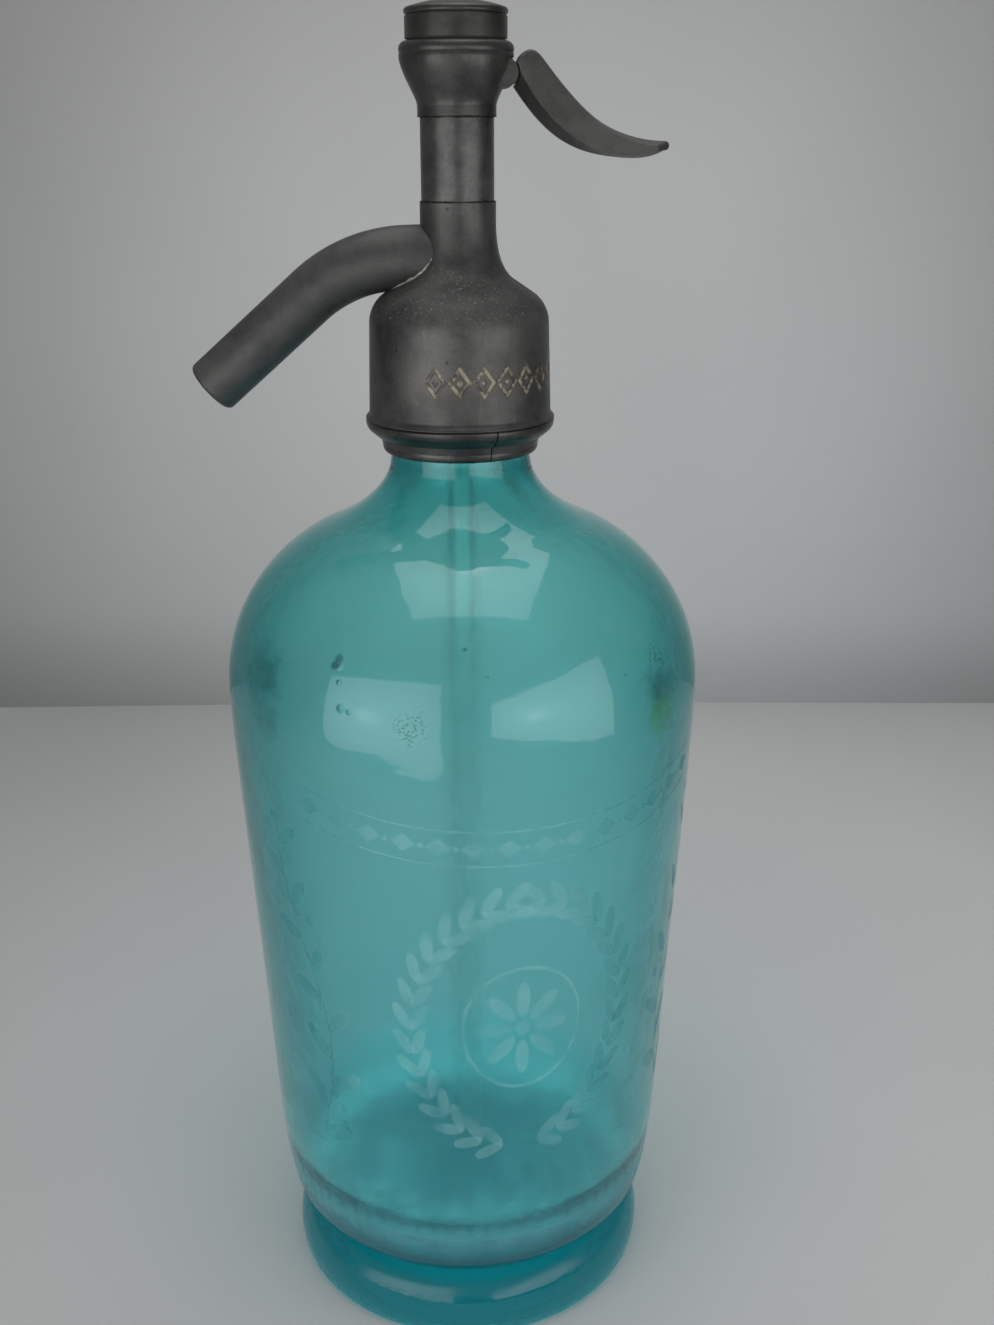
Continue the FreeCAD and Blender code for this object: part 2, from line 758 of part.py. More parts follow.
# ---- cap and spring ---------------------------------------------------------------
def top_cap():
    edge = cap_radius + cap_edge_step
    top = cap_level + cap_height
    edge_top = top - cap_crown
    edge_foot = edge_top - cap_edge_height
    line_foot = edge_foot - groove_depth
    crown = edge - edge_round
    sphere = (crown ** 2 + cap_crown ** 2) / (2 * cap_crown)
    sag = sphere - math.sqrt(sphere ** 2 - (crown / 2) ** 2)
    thread_foot = housing_top - thread_height + free_gap
    pin = spring_pin_radius
    pin_foot = cap_ceiling - cap_pin_height
    return turned([
        *chain(at(0, top), at(0, pin_foot), at(pin, pin_foot), at(pin, cap_ceiling),
               at(cap_bore, cap_ceiling), at(cap_bore, thread_foot),
               at(cap_spigot_radius, thread_foot), at(cap_spigot_radius, cap_level),
               at(cap_radius, cap_level), at(cap_radius, line_foot),
               at(cap_radius - groove_depth, line_foot), at(cap_radius - groove_depth, edge_foot),
               at(crown, edge_foot)),
        arc(at(crown, edge_foot), at(edge, (edge_foot + edge_top) / 2), at(crown, edge_top)),
        arc(at(crown, edge_top), at(crown / 2, top - sag), at(0, top)),
    ])


def cap_washer():
    return ring(cap_radius - edge_round, cap_spigot_radius + fit_gap, housing_top, cap_level)


def spring_washer():
    return ring(spring_washer_radius, spring_pin_radius + fit_gap, spring_top, cap_ceiling)


def return_spring():
    half_wire = spring_wire / 2
    foot = piston_top + half_wire + fit_gap
    height = spring_top - half_wire - fit_gap - foot
    helix = Part.makeHelix(height / spring_turns, height, spring_radius)
    helix.translate(UP * foot)
    start = Vector(spring_radius, 0, foot)
    wire = Part.Wire(Part.makeCircle(half_wire, start, SIDE))
    return Part.Wire(helix).makePipeShell([wire], True, True)


# ---- the parts ------------------------------------------------------------------
NODES = {
    "glass_bottle": glass_bottle,
    "dip_tube": dip_tube,
    "tube_grommet": tube_grommet,
    "tube_nut": tube_nut,
    "neck_gasket": neck_gasket,
    "neck_ring_front": lambda: neck_ring_half(1),
    "neck_ring_back": lambda: neck_ring_half(-1),
    "head_body": head_body,
    "valve_seat": valve_seat,
    "spout": spout,
    "stem_washer": stem_washer,
    "stem_tube": stem_tube,
    "gland_packing": gland_packing,
    "gland_nut": gland_nut,
    "piston_rod": piston_rod,
    "piston_head": piston_head,
    "valve_washer": valve_washer,
    "washer_screw": washer_screw,
    "lever_housing": lever_housing,
    "lever_pin": lever_pin,
    "lever": lever,
    "top_cap": top_cap,
    "cap_washer": cap_washer,
    "spring_washer": spring_washer,
    "return_spring": return_spring,
}

os.makedirs("parts", exist_ok=True)
for name, make in NODES.items():
    shape = make()
    solids = shape.Solids
    piece = solids[0] if len(solids) == 1 else Part.makeCompound(solids)
    piece.exportStep(os.path.join("parts", name + ".step"))
    print("%-16s solids %d volume %9.1f valid %s" % (
        name, len(solids), piece.Volume, piece.isValid()))
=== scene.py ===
import math

import bpy
from mathutils import Matrix, Vector


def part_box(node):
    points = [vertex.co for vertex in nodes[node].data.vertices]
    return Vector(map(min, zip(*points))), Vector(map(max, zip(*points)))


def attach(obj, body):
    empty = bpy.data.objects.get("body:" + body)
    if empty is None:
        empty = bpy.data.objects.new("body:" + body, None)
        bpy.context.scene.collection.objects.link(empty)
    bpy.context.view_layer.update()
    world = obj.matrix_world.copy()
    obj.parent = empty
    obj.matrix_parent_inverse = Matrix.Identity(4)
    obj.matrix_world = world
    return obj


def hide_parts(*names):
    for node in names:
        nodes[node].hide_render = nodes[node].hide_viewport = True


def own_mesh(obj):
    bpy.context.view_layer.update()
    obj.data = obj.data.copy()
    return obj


# Soda siphon: tinted glass bottle with an etched ornament, cast pewter head, spout and lever.
# Metres, +Z up, the spout towards -X and the lever towards +X.

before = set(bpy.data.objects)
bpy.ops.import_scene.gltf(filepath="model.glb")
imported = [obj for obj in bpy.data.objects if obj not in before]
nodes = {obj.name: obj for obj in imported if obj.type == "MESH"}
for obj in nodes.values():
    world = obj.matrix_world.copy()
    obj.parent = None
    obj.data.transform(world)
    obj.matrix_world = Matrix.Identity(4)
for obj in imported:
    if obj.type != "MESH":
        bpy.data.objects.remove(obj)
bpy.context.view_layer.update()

# Places on the object, in metres and degrees. Azimuth 0 is the front and 90 the lever's side.
bottle_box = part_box("glass_bottle")
body_radius = bottle_box[1].x
head_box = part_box("head_body")
bottle_middle = (0.0, 0.0, 0.10)
etch_depth = 0.00008            # how far the etched sheets stand off the glass
wrap_reach = 0.003              # flat motifs start this far outside the bottle

# Marks of use in the glass: place, size, raggedness, strength, colour and whether it is
# broken up into dots.
glass_marks = (
    ((-0.0262, -0.0447, 0.1812), 0.0022, 900.0, 0.9, (0.06, 0.20, 0.21), False),
    ((-0.0272, -0.0447, 0.1800), 0.0016, 700.0, 0.9, (0.05, 0.18, 0.19), False),
    ((-0.0112, -0.0546, 0.1692), 0.0062, 500.0, 0.8, (0.14, 0.20, 0.20), True),
    ((0.0004, -0.0496, 0.1848), 0.0009, 900.0, 0.9, (0.08, 0.20, 0.21), False),
    ((0.0429, -0.0325, 0.1765), 0.0058, 420.0, 0.9, (0.04, 0.20, 0.21), True),
    ((0.0441, -0.0338, 0.1702), 0.0085, 260.0, 0.8, (0.05, 0.22, 0.23), False),
    ((0.0473, -0.0300, 0.1690), 0.0050, 420.0, 0.8, (0.05, 0.22, 0.23), True),
    ((0.0440, -0.0345, 0.1640), 0.0085, 220.0, 0.7, (0.42, 0.66, 0.12), False),
    ((-0.0444, -0.0315, 0.1735), 0.0110, 240.0, 0.7, (0.10, 0.36, 0.40), False),
    ((-0.0440, -0.0350, 0.1640), 0.0080, 300.0, 0.6, (0.12, 0.38, 0.42), False),
)
# Small bright dents in the glass: place and size.
glass_dents = (
    ((-0.0258, -0.0455, 0.1799), 0.0011),
    ((-0.0261, -0.0468, 0.1768), 0.0009),
    ((-0.0258, -0.0485, 0.1717), 0.0012),
    ((-0.0240, -0.0494, 0.1712), 0.0009),
)

# Camera
camera_distance = 0.34013
camera_height = 0.28468
camera_pitch = 70.5246
camera_yaw = -1.3994
camera_roll = -0.1667
camera_lens = 40.21
camera_sensor = 36.0


# ---- mesh helpers ----------------------------------------------------------
def deselect():
    bpy.ops.object.select_all(action="DESELECT")


def select_only(*objects):
    deselect()
    for item in objects:
        item.select_set(True)
    bpy.context.view_layer.objects.active = objects[0]


def named(name):
    """Name the piece that was just added and place it at the origin."""
    piece = bpy.context.object
    piece.name = name
    piece.data.name = name
    bpy.ops.object.transform_apply(location=True, rotation=True, scale=True)
    return piece


def edit(piece):
    select_only(piece)
    bpy.ops.object.mode_set(mode="EDIT")


def finish_edit():
    bpy.ops.object.mode_set(mode="OBJECT")


def select_vertices(piece, wanted):
    """Select in edit mode the vertices for which wanted(place) is true."""
    edit(piece)
    bpy.ops.mesh.select_all(action="DESELECT")
    finish_edit()
    for vertex in piece.data.vertices:
        vertex.select = wanted(vertex.co)
    bpy.ops.object.mode_set(mode="EDIT")


def apply_modifier(piece, kind, **settings):
    select_only(piece)
    modifier = piece.modifiers.new(kind.lower(), kind)
    for key, value in settings.items():
        setattr(modifier, key, value)
    bpy.ops.object.modifier_apply(modifier=modifier.name)


def joined(name, pieces):
    select_only(*pieces)
    bpy.ops.object.join()
    whole = bpy.context.object
    whole.name = name
    whole.data.name = name
    return whole


def copied(source, place):
    """Copy of a piece with its own mesh, moved by a matrix."""
    mesh = source.data.copy()
    mesh.transform(place)
    piece = bpy.data.objects.new(source.name + "_copy", mesh)
    bpy.context.scene.collection.objects.link(piece)
    return piece


# ---- material helpers --------------------------------------------------------
def feed(tree, socket, value):
    if isinstance(value, bpy.types.NodeSocket):
        tree.links.new(value, socket)
    else:
        socket.default_value = value


def add_node(tree, kind, settings=None, **inputs):
    """Add a node; an input's name has underscores for spaces."""
    made = tree.nodes.new(kind)
    for key, value in (settings or {}).items():
        setattr(made, key, value)
    for key, value in inputs.items():
        feed(tree, made.inputs[key.replace("_", " ")], value)
    return made


def calculate(tree, operation, *values, clamp=False):
    made = tree.nodes.new("ShaderNodeMath")
    made.operation = operation
    made.use_clamp = clamp
    for socket, value in zip(made.inputs, values):
        feed(tree, socket, value)
    return made.outputs[0]


def blend_colours(tree, share, first, second, mode="MIX"):
    made = tree.nodes.new("ShaderNodeMix")
    made.data_type = "RGBA"
    made.blend_type = mode
    feed(tree, made.inputs[0], share)
    feed(tree, made.inputs[6], first)
    feed(tree, made.inputs[7], second)
    return made.outputs[2]


def remap(tree, value, low, high, new_low=0.0, new_high=1.0):
    made = tree.nodes.new("ShaderNodeMapRange")
    made.interpolation_type = "SMOOTHSTEP"
    for socket, number in zip(made.inputs, (value, low, high, new_low, new_high)):
        feed(tree, socket, number)
    return made.outputs[0]


def noise(tree, place, scale, detail=3.0, roughness=0.5):
    made = add_node(tree, "ShaderNodeTexNoise", Vector=place, Scale=scale, Detail=detail,
                    Roughness=roughness)
    return made.outputs["Fac"]


def object_place(tree):
    return add_node(tree, "ShaderNodeTexCoord").outputs["Object"]


def coordinates(tree, place):
    return add_node(tree, "ShaderNodeSeparateXYZ", Vector=place).outputs


def stretched(tree, place, shares):
    """The place with its X, Y and Z scaled, so that a pattern on it is drawn out."""
    return add_node(tree, "ShaderNodeMapping", Vector=place, Scale=shares).outputs[0]


def new_material(name):
    """Empty material and its Principled shader."""
    material = bpy.data.materials.new(name)
    material.use_nodes = True
    tree = material.node_tree
    shader = tree.nodes["Principled BSDF"]
    return material, tree, shader


def new_group(name, inputs, outputs):
    group = bpy.data.node_groups.new(name, "ShaderNodeTree")
    for label, kind in inputs:
        group.interface.new_socket(label, in_out="INPUT", socket_type=kind)
    for label, kind in outputs:
        group.interface.new_socket(label, in_out="OUTPUT", socket_type=kind)
    return group, group.nodes.new("NodeGroupInput"), group.nodes.new("NodeGroupOutput")


def use_group(tree, group, **inputs):
    made = tree.nodes.new("ShaderNodeGroup")
    made.node_tree = group
    for key, value in inputs.items():
        feed(tree, made.inputs[key.replace("_", " ")], value)
    return made


# ---- shared effects -----------------------------------------------------------
def worn_casting_group():
    """Waxy mottled tone, fine grain, rubbed streaks and a few casting pits of old metal."""
    group, given, result = new_group(
        "worn_casting",
        [("Place", "NodeSocketVector"), ("Dark", "NodeSocketColor"),
         ("Light", "NodeSocketColor"), ("Pitting", "NodeSocketFloat")],
        [("Colour", "NodeSocketColor"), ("Roughness", "NodeSocketFloat"),
         ("Height", "NodeSocketFloat")])
    place = given.outputs["Place"]
    cloud = noise(group, place, 75.0, 4.0, 0.55)
    smear = noise(group, place, 230.0, 4.0, 0.6)
    grain = noise(group, place, 2100.0, 2.0)
    drawn = stretched(group, place, (1.0, 1.0, 0.18))
    streaks = remap(group, noise(group, drawn, 620.0, 3.0, 0.6), 0.55, 0.75)
    pit_cells = add_node(group, "ShaderNodeTexVoronoi", Vector=place, Scale=420.0)
    pit_patch = remap(group, noise(group, place, 90.0, 2.0), 0.62, 0.74)
    pit_round = remap(group, pit_cells.outputs["Distance"], 0.10, 0.26, 1.0, 0.0)
    pits = calculate(group, "MULTIPLY", pit_round, pit_patch)
    pits = calculate(group, "MULTIPLY", pits, given.outputs["Pitting"])
    share = calculate(group, "MULTIPLY", smear, 0.5)
    share = calculate(group, "MULTIPLY_ADD", cloud, 0.75, share)
    share = remap(group, share, 0.42, 0.82)
    tone = blend_colours(group, share, given.outputs["Dark"], given.outputs["Light"])
    speck = remap(group, grain, 0.35, 0.75, 0.92, 1.08)
    tone = blend_colours(group, 1.0, tone, speck, "MULTIPLY")
    rubbed = calculate(group, "MULTIPLY", streaks, 0.25)
    tone = blend_colours(group, rubbed, tone, given.outputs["Light"])
    tone = blend_colours(group, pits, tone, (0.035, 0.034, 0.032, 1.0))
    rough = calculate(group, "MULTIPLY_ADD", smear, 0.22, 0.22)
    rough = calculate(group, "MULTIPLY_ADD", streaks, -0.05, rough)
    rough = calculate(group, "MULTIPLY_ADD", pits, 0.3, rough)
    height = calculate(group, "MULTIPLY", smear, 0.35)
    height = calculate(group, "MULTIPLY_ADD", grain, 0.14, height)
    height = calculate(group, "MULTIPLY_ADD", streaks, 0.06, height)
    height = calculate(group, "SUBTRACT", height, pits)
    group.links.new(tone, result.inputs["Colour"])
    group.links.new(rough, result.inputs["Roughness"])
    group.links.new(height, result.inputs["Height"])
    return group


def joint_grime_group():
    """Dark grime along a level joint."""
    group, given, result = new_group(
        "joint_grime",
        [("Place", "NodeSocketVector"), ("Level", "NodeSocketFloat")],
        [("Mask", "NodeSocketFloat")])
    z = coordinates(group, given.outputs["Place"])[2]
    away = calculate(group, "SUBTRACT", z, given.outputs["Level"])
    away = calculate(group, "ABSOLUTE", away)
    wobble = noise(group, given.outputs["Place"], 700.0, 3.0, 0.6)
    away = calculate(group, "MULTIPLY_ADD", wobble, 0.0006, away)
    group.links.new(remap(group, away, 0.00030, 0.00065, 0.9, 0.0), result.inputs["Mask"])
    return group


worn_casting = worn_casting_group()
joint_grime = joint_grime_group()


# ---- metals -------------------------------------------------------------------
def metal(name, dark, light, pitting=1.0, metallic=0.9, bump=0.3, lift=0.0, joints=()):
    """Old metal between two tones, rougher by lift, with grime at the levels of its joints."""
    material, tree, shader = new_material(name)
    place = object_place(tree)
    worn = use_group(tree, worn_casting, Place=place, Dark=(*dark, 1.0), Light=(*light, 1.0),
                     Pitting=pitting)
    tone = worn.outputs["Colour"]
    rough = calculate(tree, "ADD", worn.outputs["Roughness"], lift)
    for level in joints:
        grime = use_group(tree, joint_grime, Place=place, Level=level).outputs["Mask"]
        tone = blend_colours(tree, grime, tone, (0.016, 0.015, 0.013, 1.0))
        rough = calculate(tree, "MULTIPLY_ADD", grime, 0.25, rough)
    shader.inputs["Metallic"].default_value = metallic
    tree.links.new(tone, shader.inputs["Base Color"])
    tree.links.new(rough, shader.inputs["Roughness"])
    surface = add_node(tree, "ShaderNodeBump", Strength=bump, Distance=0.0002,
                       Height=worn.outputs["Height"])
    tree.links.new(surface.outputs["Normal"], shader.inputs["Normal"])
    return material, tree, shader, tone, rough, worn.outputs["Height"], surface


def head_pewter():
    """Pewter of the lower casting: pitted shoulder and an incised band of lozenges."""
    material, tree, shader, tone, rough, height, surface = metal(
        "head_pewter", (0.062, 0.061, 0.060), (0.118, 0.116, 0.113), metallic=0.8, lift=0.10,
        joints=(head_box[1].z,))
    place = object_place(tree)
    x, y, z = coordinates(tree, place)

    # The shoulder's rough, light-specked skin, with single specks all over.
    shoulder_low = head_box[0].z + 0.0205
    shoulder_high = shoulder_low + 0.0150
    rising = remap(tree, z, shoulder_low, shoulder_low + 0.004)
    falling = remap(tree, z, shoulder_high - 0.005, shoulder_high, 1.0, 0.0)
    shoulder = calculate(tree, "MULTIPLY", rising, falling)
    crumbs = remap(tree, noise(tree, place, 1500.0, 3.0, 0.7), 0.56, 0.74)
    spread = calculate(tree, "MULTIPLY_ADD", shoulder, 0.85, 0.06)
    crumbs = calculate(tree, "MULTIPLY", crumbs, spread)

    # The incised band: a row of lozenges, each with a dot in it.
    band_level = 0.2352
    band_half_height = 0.0036
    lozenge_pitch = math.radians(15.0)
    forward = calculate(tree, "MULTIPLY", y, -1.0)
    azimuth = calculate(tree, "ARCTAN2", x, forward)
    across = calculate(tree, "DIVIDE", azimuth, lozenge_pitch)
    across = calculate(tree, "PINGPONG", across, 0.5)
    across = calculate(tree, "MULTIPLY", across, 2.0)
    up = calculate(tree, "SUBTRACT", z, band_level)
    up = calculate(tree, "ABSOLUTE", up)
    up = calculate(tree, "DIVIDE", up, band_half_height)
    reach = calculate(tree, "ADD", across, up)
    outline = calculate(tree, "SUBTRACT", reach, 0.80)
    outline = calculate(tree, "ABSOLUTE", outline)
    cut = remap(tree, outline, 0.13, 0.23, 1.0, 0.0)
    dot = remap(tree, reach, 0.18, 0.30, 1.0, 0.0)
    cut = calculate(tree, "MAXIMUM", cut, dot)
    band_start = remap(tree, azimuth, math.radians(-21.0), math.radians(-20.2))
    band_end = remap(tree, azimuth, math.radians(87.0), math.radians(87.8), 1.0, 0.0)
    outside = remap(tree, up, 1.0, 1.05, 1.0, 0.0)
    for limit in (band_start, band_end, outside):
        cut = calculate(tree, "MULTIPLY", cut, limit)

    # The cuts are dark, with a broken cream residue left in them.
    residue = remap(tree, noise(tree, place, 480.0, 4.0, 0.65), 0.42, 0.60, 0.0, 0.75)
    cream = calculate(tree, "MULTIPLY", cut, residue)
    shaded = calculate(tree, "MULTIPLY", cut, 0.6)
    tone = blend_colours(tree, crumbs, tone, (0.27, 0.265, 0.25, 1.0))
    tone = blend_colours(tree, shaded, tone, (0.05, 0.048, 0.042, 1.0))
    tone = blend_colours(tree, cream, tone, (0.46, 0.42, 0.30, 1.0))
    tree.links.new(tone, shader.inputs["Base Color"])
    rough = calculate(tree, "MULTIPLY_ADD", shoulder, 0.20, rough)
    rough = calculate(tree, "MULTIPLY_ADD", cream, 0.3, rough)
    tree.links.new(rough, shader.inputs["Roughness"])
    deep = calculate(tree, "MULTIPLY_ADD", cut, -3.0, height)
    deep = calculate(tree, "MULTIPLY_ADD", crumbs, 0.5, deep)
    tree.links.new(deep, surface.inputs["Height"])
    return material


# ---- glass --------------------------------------------------------------------
def let_light_through(tree, shader, tint):
    """Light that crosses the glass on its way to a lamp is only tinted."""
    output = tree.nodes["Material Output"]
    clear = add_node(tree, "ShaderNodeBsdfTransparent", Color=tint)
    path = add_node(tree, "ShaderNodeLightPath")
    choice = tree.nodes.new("ShaderNodeMixShader")
    tree.links.new(path.outputs["Is Shadow Ray"], choice.inputs[0])
    tree.links.new(shader.outputs[0], choice.inputs[1])
    tree.links.new(clear.outputs[0], choice.inputs[2])
    tree.links.new(choice.outputs[0], output.inputs["Surface"])


def distance_from(tree, place, centre):
    offset = add_node(tree, "ShaderNodeVectorMath", {"operation": "DISTANCE"})
    feed(tree, offset.inputs[0], place)
    offset.inputs[1].default_value = centre
    return offset.outputs["Value"]


def spot_mask(tree, place, centre, size, ragged):
    """Ragged round patch about a point of the surface."""
    wobble = noise(tree, place, ragged, 3.0, 0.7)
    distance = distance_from(tree, place, centre)
    distance = calculate(tree, "MULTIPLY_ADD", wobble, size * 0.9, distance)
    return remap(tree, distance, size * 0.7, size * 1.25, 1.0, 0.0)


def seed_mask(tree, place):
    """Single specks and seeds, thinly spread over the glass."""
    cells = add_node(tree, "ShaderNodeTexVoronoi", Vector=place, Scale=170.0)
    picked = add_node(tree, "ShaderNodeSeparateColor", Color=cells.outputs["Color"])
    chosen = calculate(tree, "GREATER_THAN", picked.outputs["Red"], 0.84)
    speck = remap(tree, cells.outputs["Distance"], 0.035, 0.070, 1.0, 0.0)
    return calculate(tree, "MULTIPLY", chosen, speck)


def inner_skin(tree, place):
    """1 on the bottle's inner wall and 0 on its outer one: the inner normal faces the middle."""
    surface = add_node(tree, "ShaderNodeNewGeometry")
    outward = add_node(tree, "ShaderNodeVectorMath", {"operation": "SUBTRACT"})
    feed(tree, outward.inputs[0], place)
    outward.inputs[1].default_value = bottle_middle
    facing = add_node(tree, "ShaderNodeVectorMath", {"operation": "DOT_PRODUCT"})
    feed(tree, facing.inputs[0], outward.outputs[0])
    feed(tree, facing.inputs[1], surface.outputs["True Normal"])
    side = calculate(tree, "MULTIPLY_ADD", surface.outputs["Backfacing"], -2.0, 1.0)
    facing_out = calculate(tree, "MULTIPLY", facing.outputs["Value"], side)
    return calculate(tree, "LESS_THAN", facing_out, 0.0)


def bottle_roughness(tree, place, level, scuffs):
    """Smooth outside, clouded by long use on the inner wall, worn at the heel and underneath."""
    polished = calculate(tree, "MULTIPLY_ADD", scuffs, 0.10, 0.035)
    clouding = remap(tree, noise(tree, place, 35.0, 4.0, 0.6), 0.35, 0.65, 0.30, 0.46)
    # The front wall is clearer than the back one.
    towards_back = remap(tree, coordinates(tree, place)[1], -0.02, 0.01, 0.48, 1.15)
    clouding = calculate(tree, "MULTIPLY", clouding, towards_back)
    rough = calculate(tree, "MULTIPLY_ADD", inner_skin(tree, place), clouding, polished)
    # The ring that the bottle stands on is ground, and the hollow inside it is dull.
    ground = remap(tree, level, 0.0, 0.0030, 0.70, 0.0)
    dulled = remap(tree, level, 0.0040, 0.0050, 0.40, 0.0)
    # The heel is scuffed, up to a ragged line.
    ragged_level = calculate(tree, "MULTIPLY_ADD", scuffs, 0.006, level)
    heel_low = remap(tree, level, 0.0175, 0.0190)
    heel_high = remap(tree, ragged_level, 0.030, 0.042, 1.0, 0.0)
    scuffed = calculate(tree, "MULTIPLY", heel_low, heel_high)
    scuffed = calculate(tree, "MULTIPLY", scuffed, 0.16)
    for wear in (ground, dulled, scuffed):
        rough = calculate(tree, "ADD", rough, wear)
    return rough


def bottle_tint(tree, place, level):
    """Tint of the glass's surface: deeper in the foot, and deepened by painted shade towards the
    outline and at the neck's sides.
    """
    facing = add_node(tree, "ShaderNodeLayerWeight", Blend=0.5).outputs["Facing"]
    streaks = noise(tree, stretched(tree, place, (1.0, 1.0, 0.22)), 70.0, 3.0, 0.6)
    # Painted shade: the tone deepens towards the outline, broken up by streaks, standing in for
    # the dark room seen through the glass's edge.
    outline_shade = calculate(tree, "MULTIPLY", remap(tree, facing, 0.30, 0.75),
                      remap(tree, streaks, 0.35, 0.60, 0.45, 1.0))
    tone = blend_colours(tree, outline_shade, (0.88, 0.99, 1.0, 1.0), (0.68, 0.93, 0.96, 1.0))
    # The foot was set on as a second, deeper gather of glass.
    second_gather = remap(tree, level, 0.0160, 0.0185, 1.0, 0.0)
    tone = blend_colours(tree, second_gather, tone, (0.54, 0.90, 0.93, 1.0))
    # The neck is thick, and painted shade deepens its colour at its sides; the shoulder is the
    # greenest part.
    neck = remap(tree, level, head_box[0].z - 0.020, head_box[0].z - 0.008)
    neck = calculate(tree, "MULTIPLY", neck, remap(tree, facing, 0.15, 0.50))
    tone = blend_colours(tree, neck, tone, (0.24, 0.62, 0.66, 1.0))
    greener = remap(tree, level, 0.12, 0.20)
    return blend_colours(tree, greener, tone, (0.96, 1.0, 0.955, 1.0), "MULTIPLY")


def with_glass_marks(tree, place, tone):
    """The tone with the marks of use and the seeds in the glass."""
    fine_cells = add_node(tree, "ShaderNodeTexVoronoi", Vector=place, Scale=1500.0)
    fine_dots = remap(tree, fine_cells.outputs["Distance"], 0.25, 0.50, 1.0, 0.0)
    for centre, size, ragged, share, colour, broken in glass_marks:
        mark = spot_mask(tree, place, centre, size, ragged)
        mark = calculate(tree, "MULTIPLY", mark, share)
        if broken:
            mark = calculate(tree, "MULTIPLY", mark, fine_dots)
        tone = blend_colours(tree, mark, tone, (*colour, 1.0))
    seeds = calculate(tree, "MULTIPLY", seed_mask(tree, place), 0.7)
    return blend_colours(tree, seeds, tone, (0.12, 0.32, 0.33, 1.0))


def bottle_relief(tree, place):
    """Normal of the blown wall: slow waves, finer ripples and a few small dents."""
    waves = noise(tree, place, 22.0, 1.0)
    ripples = noise(tree, place, 120.0, 2.0)
    height = calculate(tree, "MULTIPLY_ADD", ripples, 0.16, waves)
    relief = add_node(tree, "ShaderNodeBump", Strength=0.25, Distance=0.002, Height=height)
    dents = 0.0
    for centre, size in glass_dents:
        dent = remap(tree, distance_from(tree, place, centre), 0.0, size, 1.0, 0.0)
        dents = calculate(tree, "ADD", dents, dent)
    dented = add_node(tree, "ShaderNodeBump", {"invert": True}, Strength=1.0, Distance=0.0008,
                      Height=dents, Normal=relief.outputs["Normal"])
    return dented.outputs["Normal"]


def bottle_glass():
    """Tinted glass whose colour comes from the light that it absorbs on the way through."""
    material, tree, shader = new_material("bottle_glass")
    place = object_place(tree)
    level = coordinates(tree, place)[2]
    scuffs = remap(tree, noise(tree, place, 160.0, 6.0, 0.75), 0.62, 0.80)
    tree.links.new(bottle_roughness(tree, place, level, scuffs), shader.inputs["Roughness"])
    tone = bottle_tint(tree, place, level)
    tree.links.new(with_glass_marks(tree, place, tone), shader.inputs["Base Color"])
    tree.links.new(bottle_relief(tree, place), shader.inputs["Normal"])
    shader.inputs["IOR"].default_value = 1.5
    shader.inputs["Transmission Weight"].default_value = 1.0
    inside = add_node(tree, "ShaderNodeVolumeAbsorption", Color=(0.0, 0.885, 0.906, 1.0),
                      Density=112.0)
    tree.links.new(inside.outputs[0], tree.nodes["Material Output"].inputs["Volume"])
    let_light_through(tree, shader, (0.80, 0.96, 0.965, 1.0))
    return material


def tube_glass():
    """Clear glass with a thin film, and painted shade darkening the tube's outline."""
    material, tree, shader = new_material("tube_glass")
    film = remap(tree, noise(tree, object_place(tree), 260.0, 4.0), 0.45, 0.70)
    rough = calculate(tree, "MULTIPLY_ADD", film, 0.12, 0.02)
    tree.links.new(rough, shader.inputs["Roughness"])
    tone = blend_colours(tree, film, (0.92, 0.97, 0.97, 1.0), (0.78, 0.88, 0.87, 1.0))
    # Painted shade: the tone darkens towards the outline, standing in for the dark room seen
    # through the tube's edges.
    facing = add_node(tree, "ShaderNodeLayerWeight", Blend=0.5).outputs["Facing"]
    tone = blend_colours(tree, remap(tree, facing, 0.45, 0.85), tone, (0.44, 0.64, 0.65, 1.0))
    tree.links.new(tone, shader.inputs["Base Color"])
    shader.inputs["IOR"].default_value = 1.47
    shader.inputs["Transmission Weight"].default_value = 1.0
    let_light_through(tree, shader, (0.92, 0.97, 0.97, 1.0))
    return material


def etched_glass():
    """Ground surface of the etched ornament, thinly worn in places."""
    material, tree, shader = new_material("etched_glass")
    place = object_place(tree)
    worn = remap(tree, noise(tree, place, 110.0, 4.0, 0.6), 0.38, 0.66, 0.12, 0.32)
    grain = remap(tree, noise(tree, place, 2600.0, 2.0), 0.3, 0.7, 0.8, 1.2)
    # Pale and thin in the middle of the bottle, darker and stronger at its sides, where the
    # darker tone is painted shade.
    aside = calculate(tree, "ABSOLUTE", coordinates(tree, place)[0])
    aside = calculate(tree, "MULTIPLY_ADD", noise(tree, place, 38.0, 2.0), 0.03, aside)
    outer = remap(tree, aside, 0.030, 0.048)
    strength = calculate(tree, "MULTIPLY_ADD", outer, 0.75, 0.60)
    worn = calculate(tree, "MULTIPLY", worn, strength)
    tone = blend_colours(tree, outer, (0.36, 0.64, 0.66, 1.0), (0.04, 0.22, 0.24, 1.0))
    tree.links.new(tone, shader.inputs["Base Color"])
    tree.links.new(calculate(tree, "MULTIPLY", worn, grain), shader.inputs["Alpha"])
    shader.inputs["Roughness"].default_value = 0.62
    relief = add_node(tree, "ShaderNodeBump", Strength=0.2, Distance=0.0001, Height=grain)
    tree.links.new(relief.outputs["Normal"], shader.inputs["Normal"])
    return material


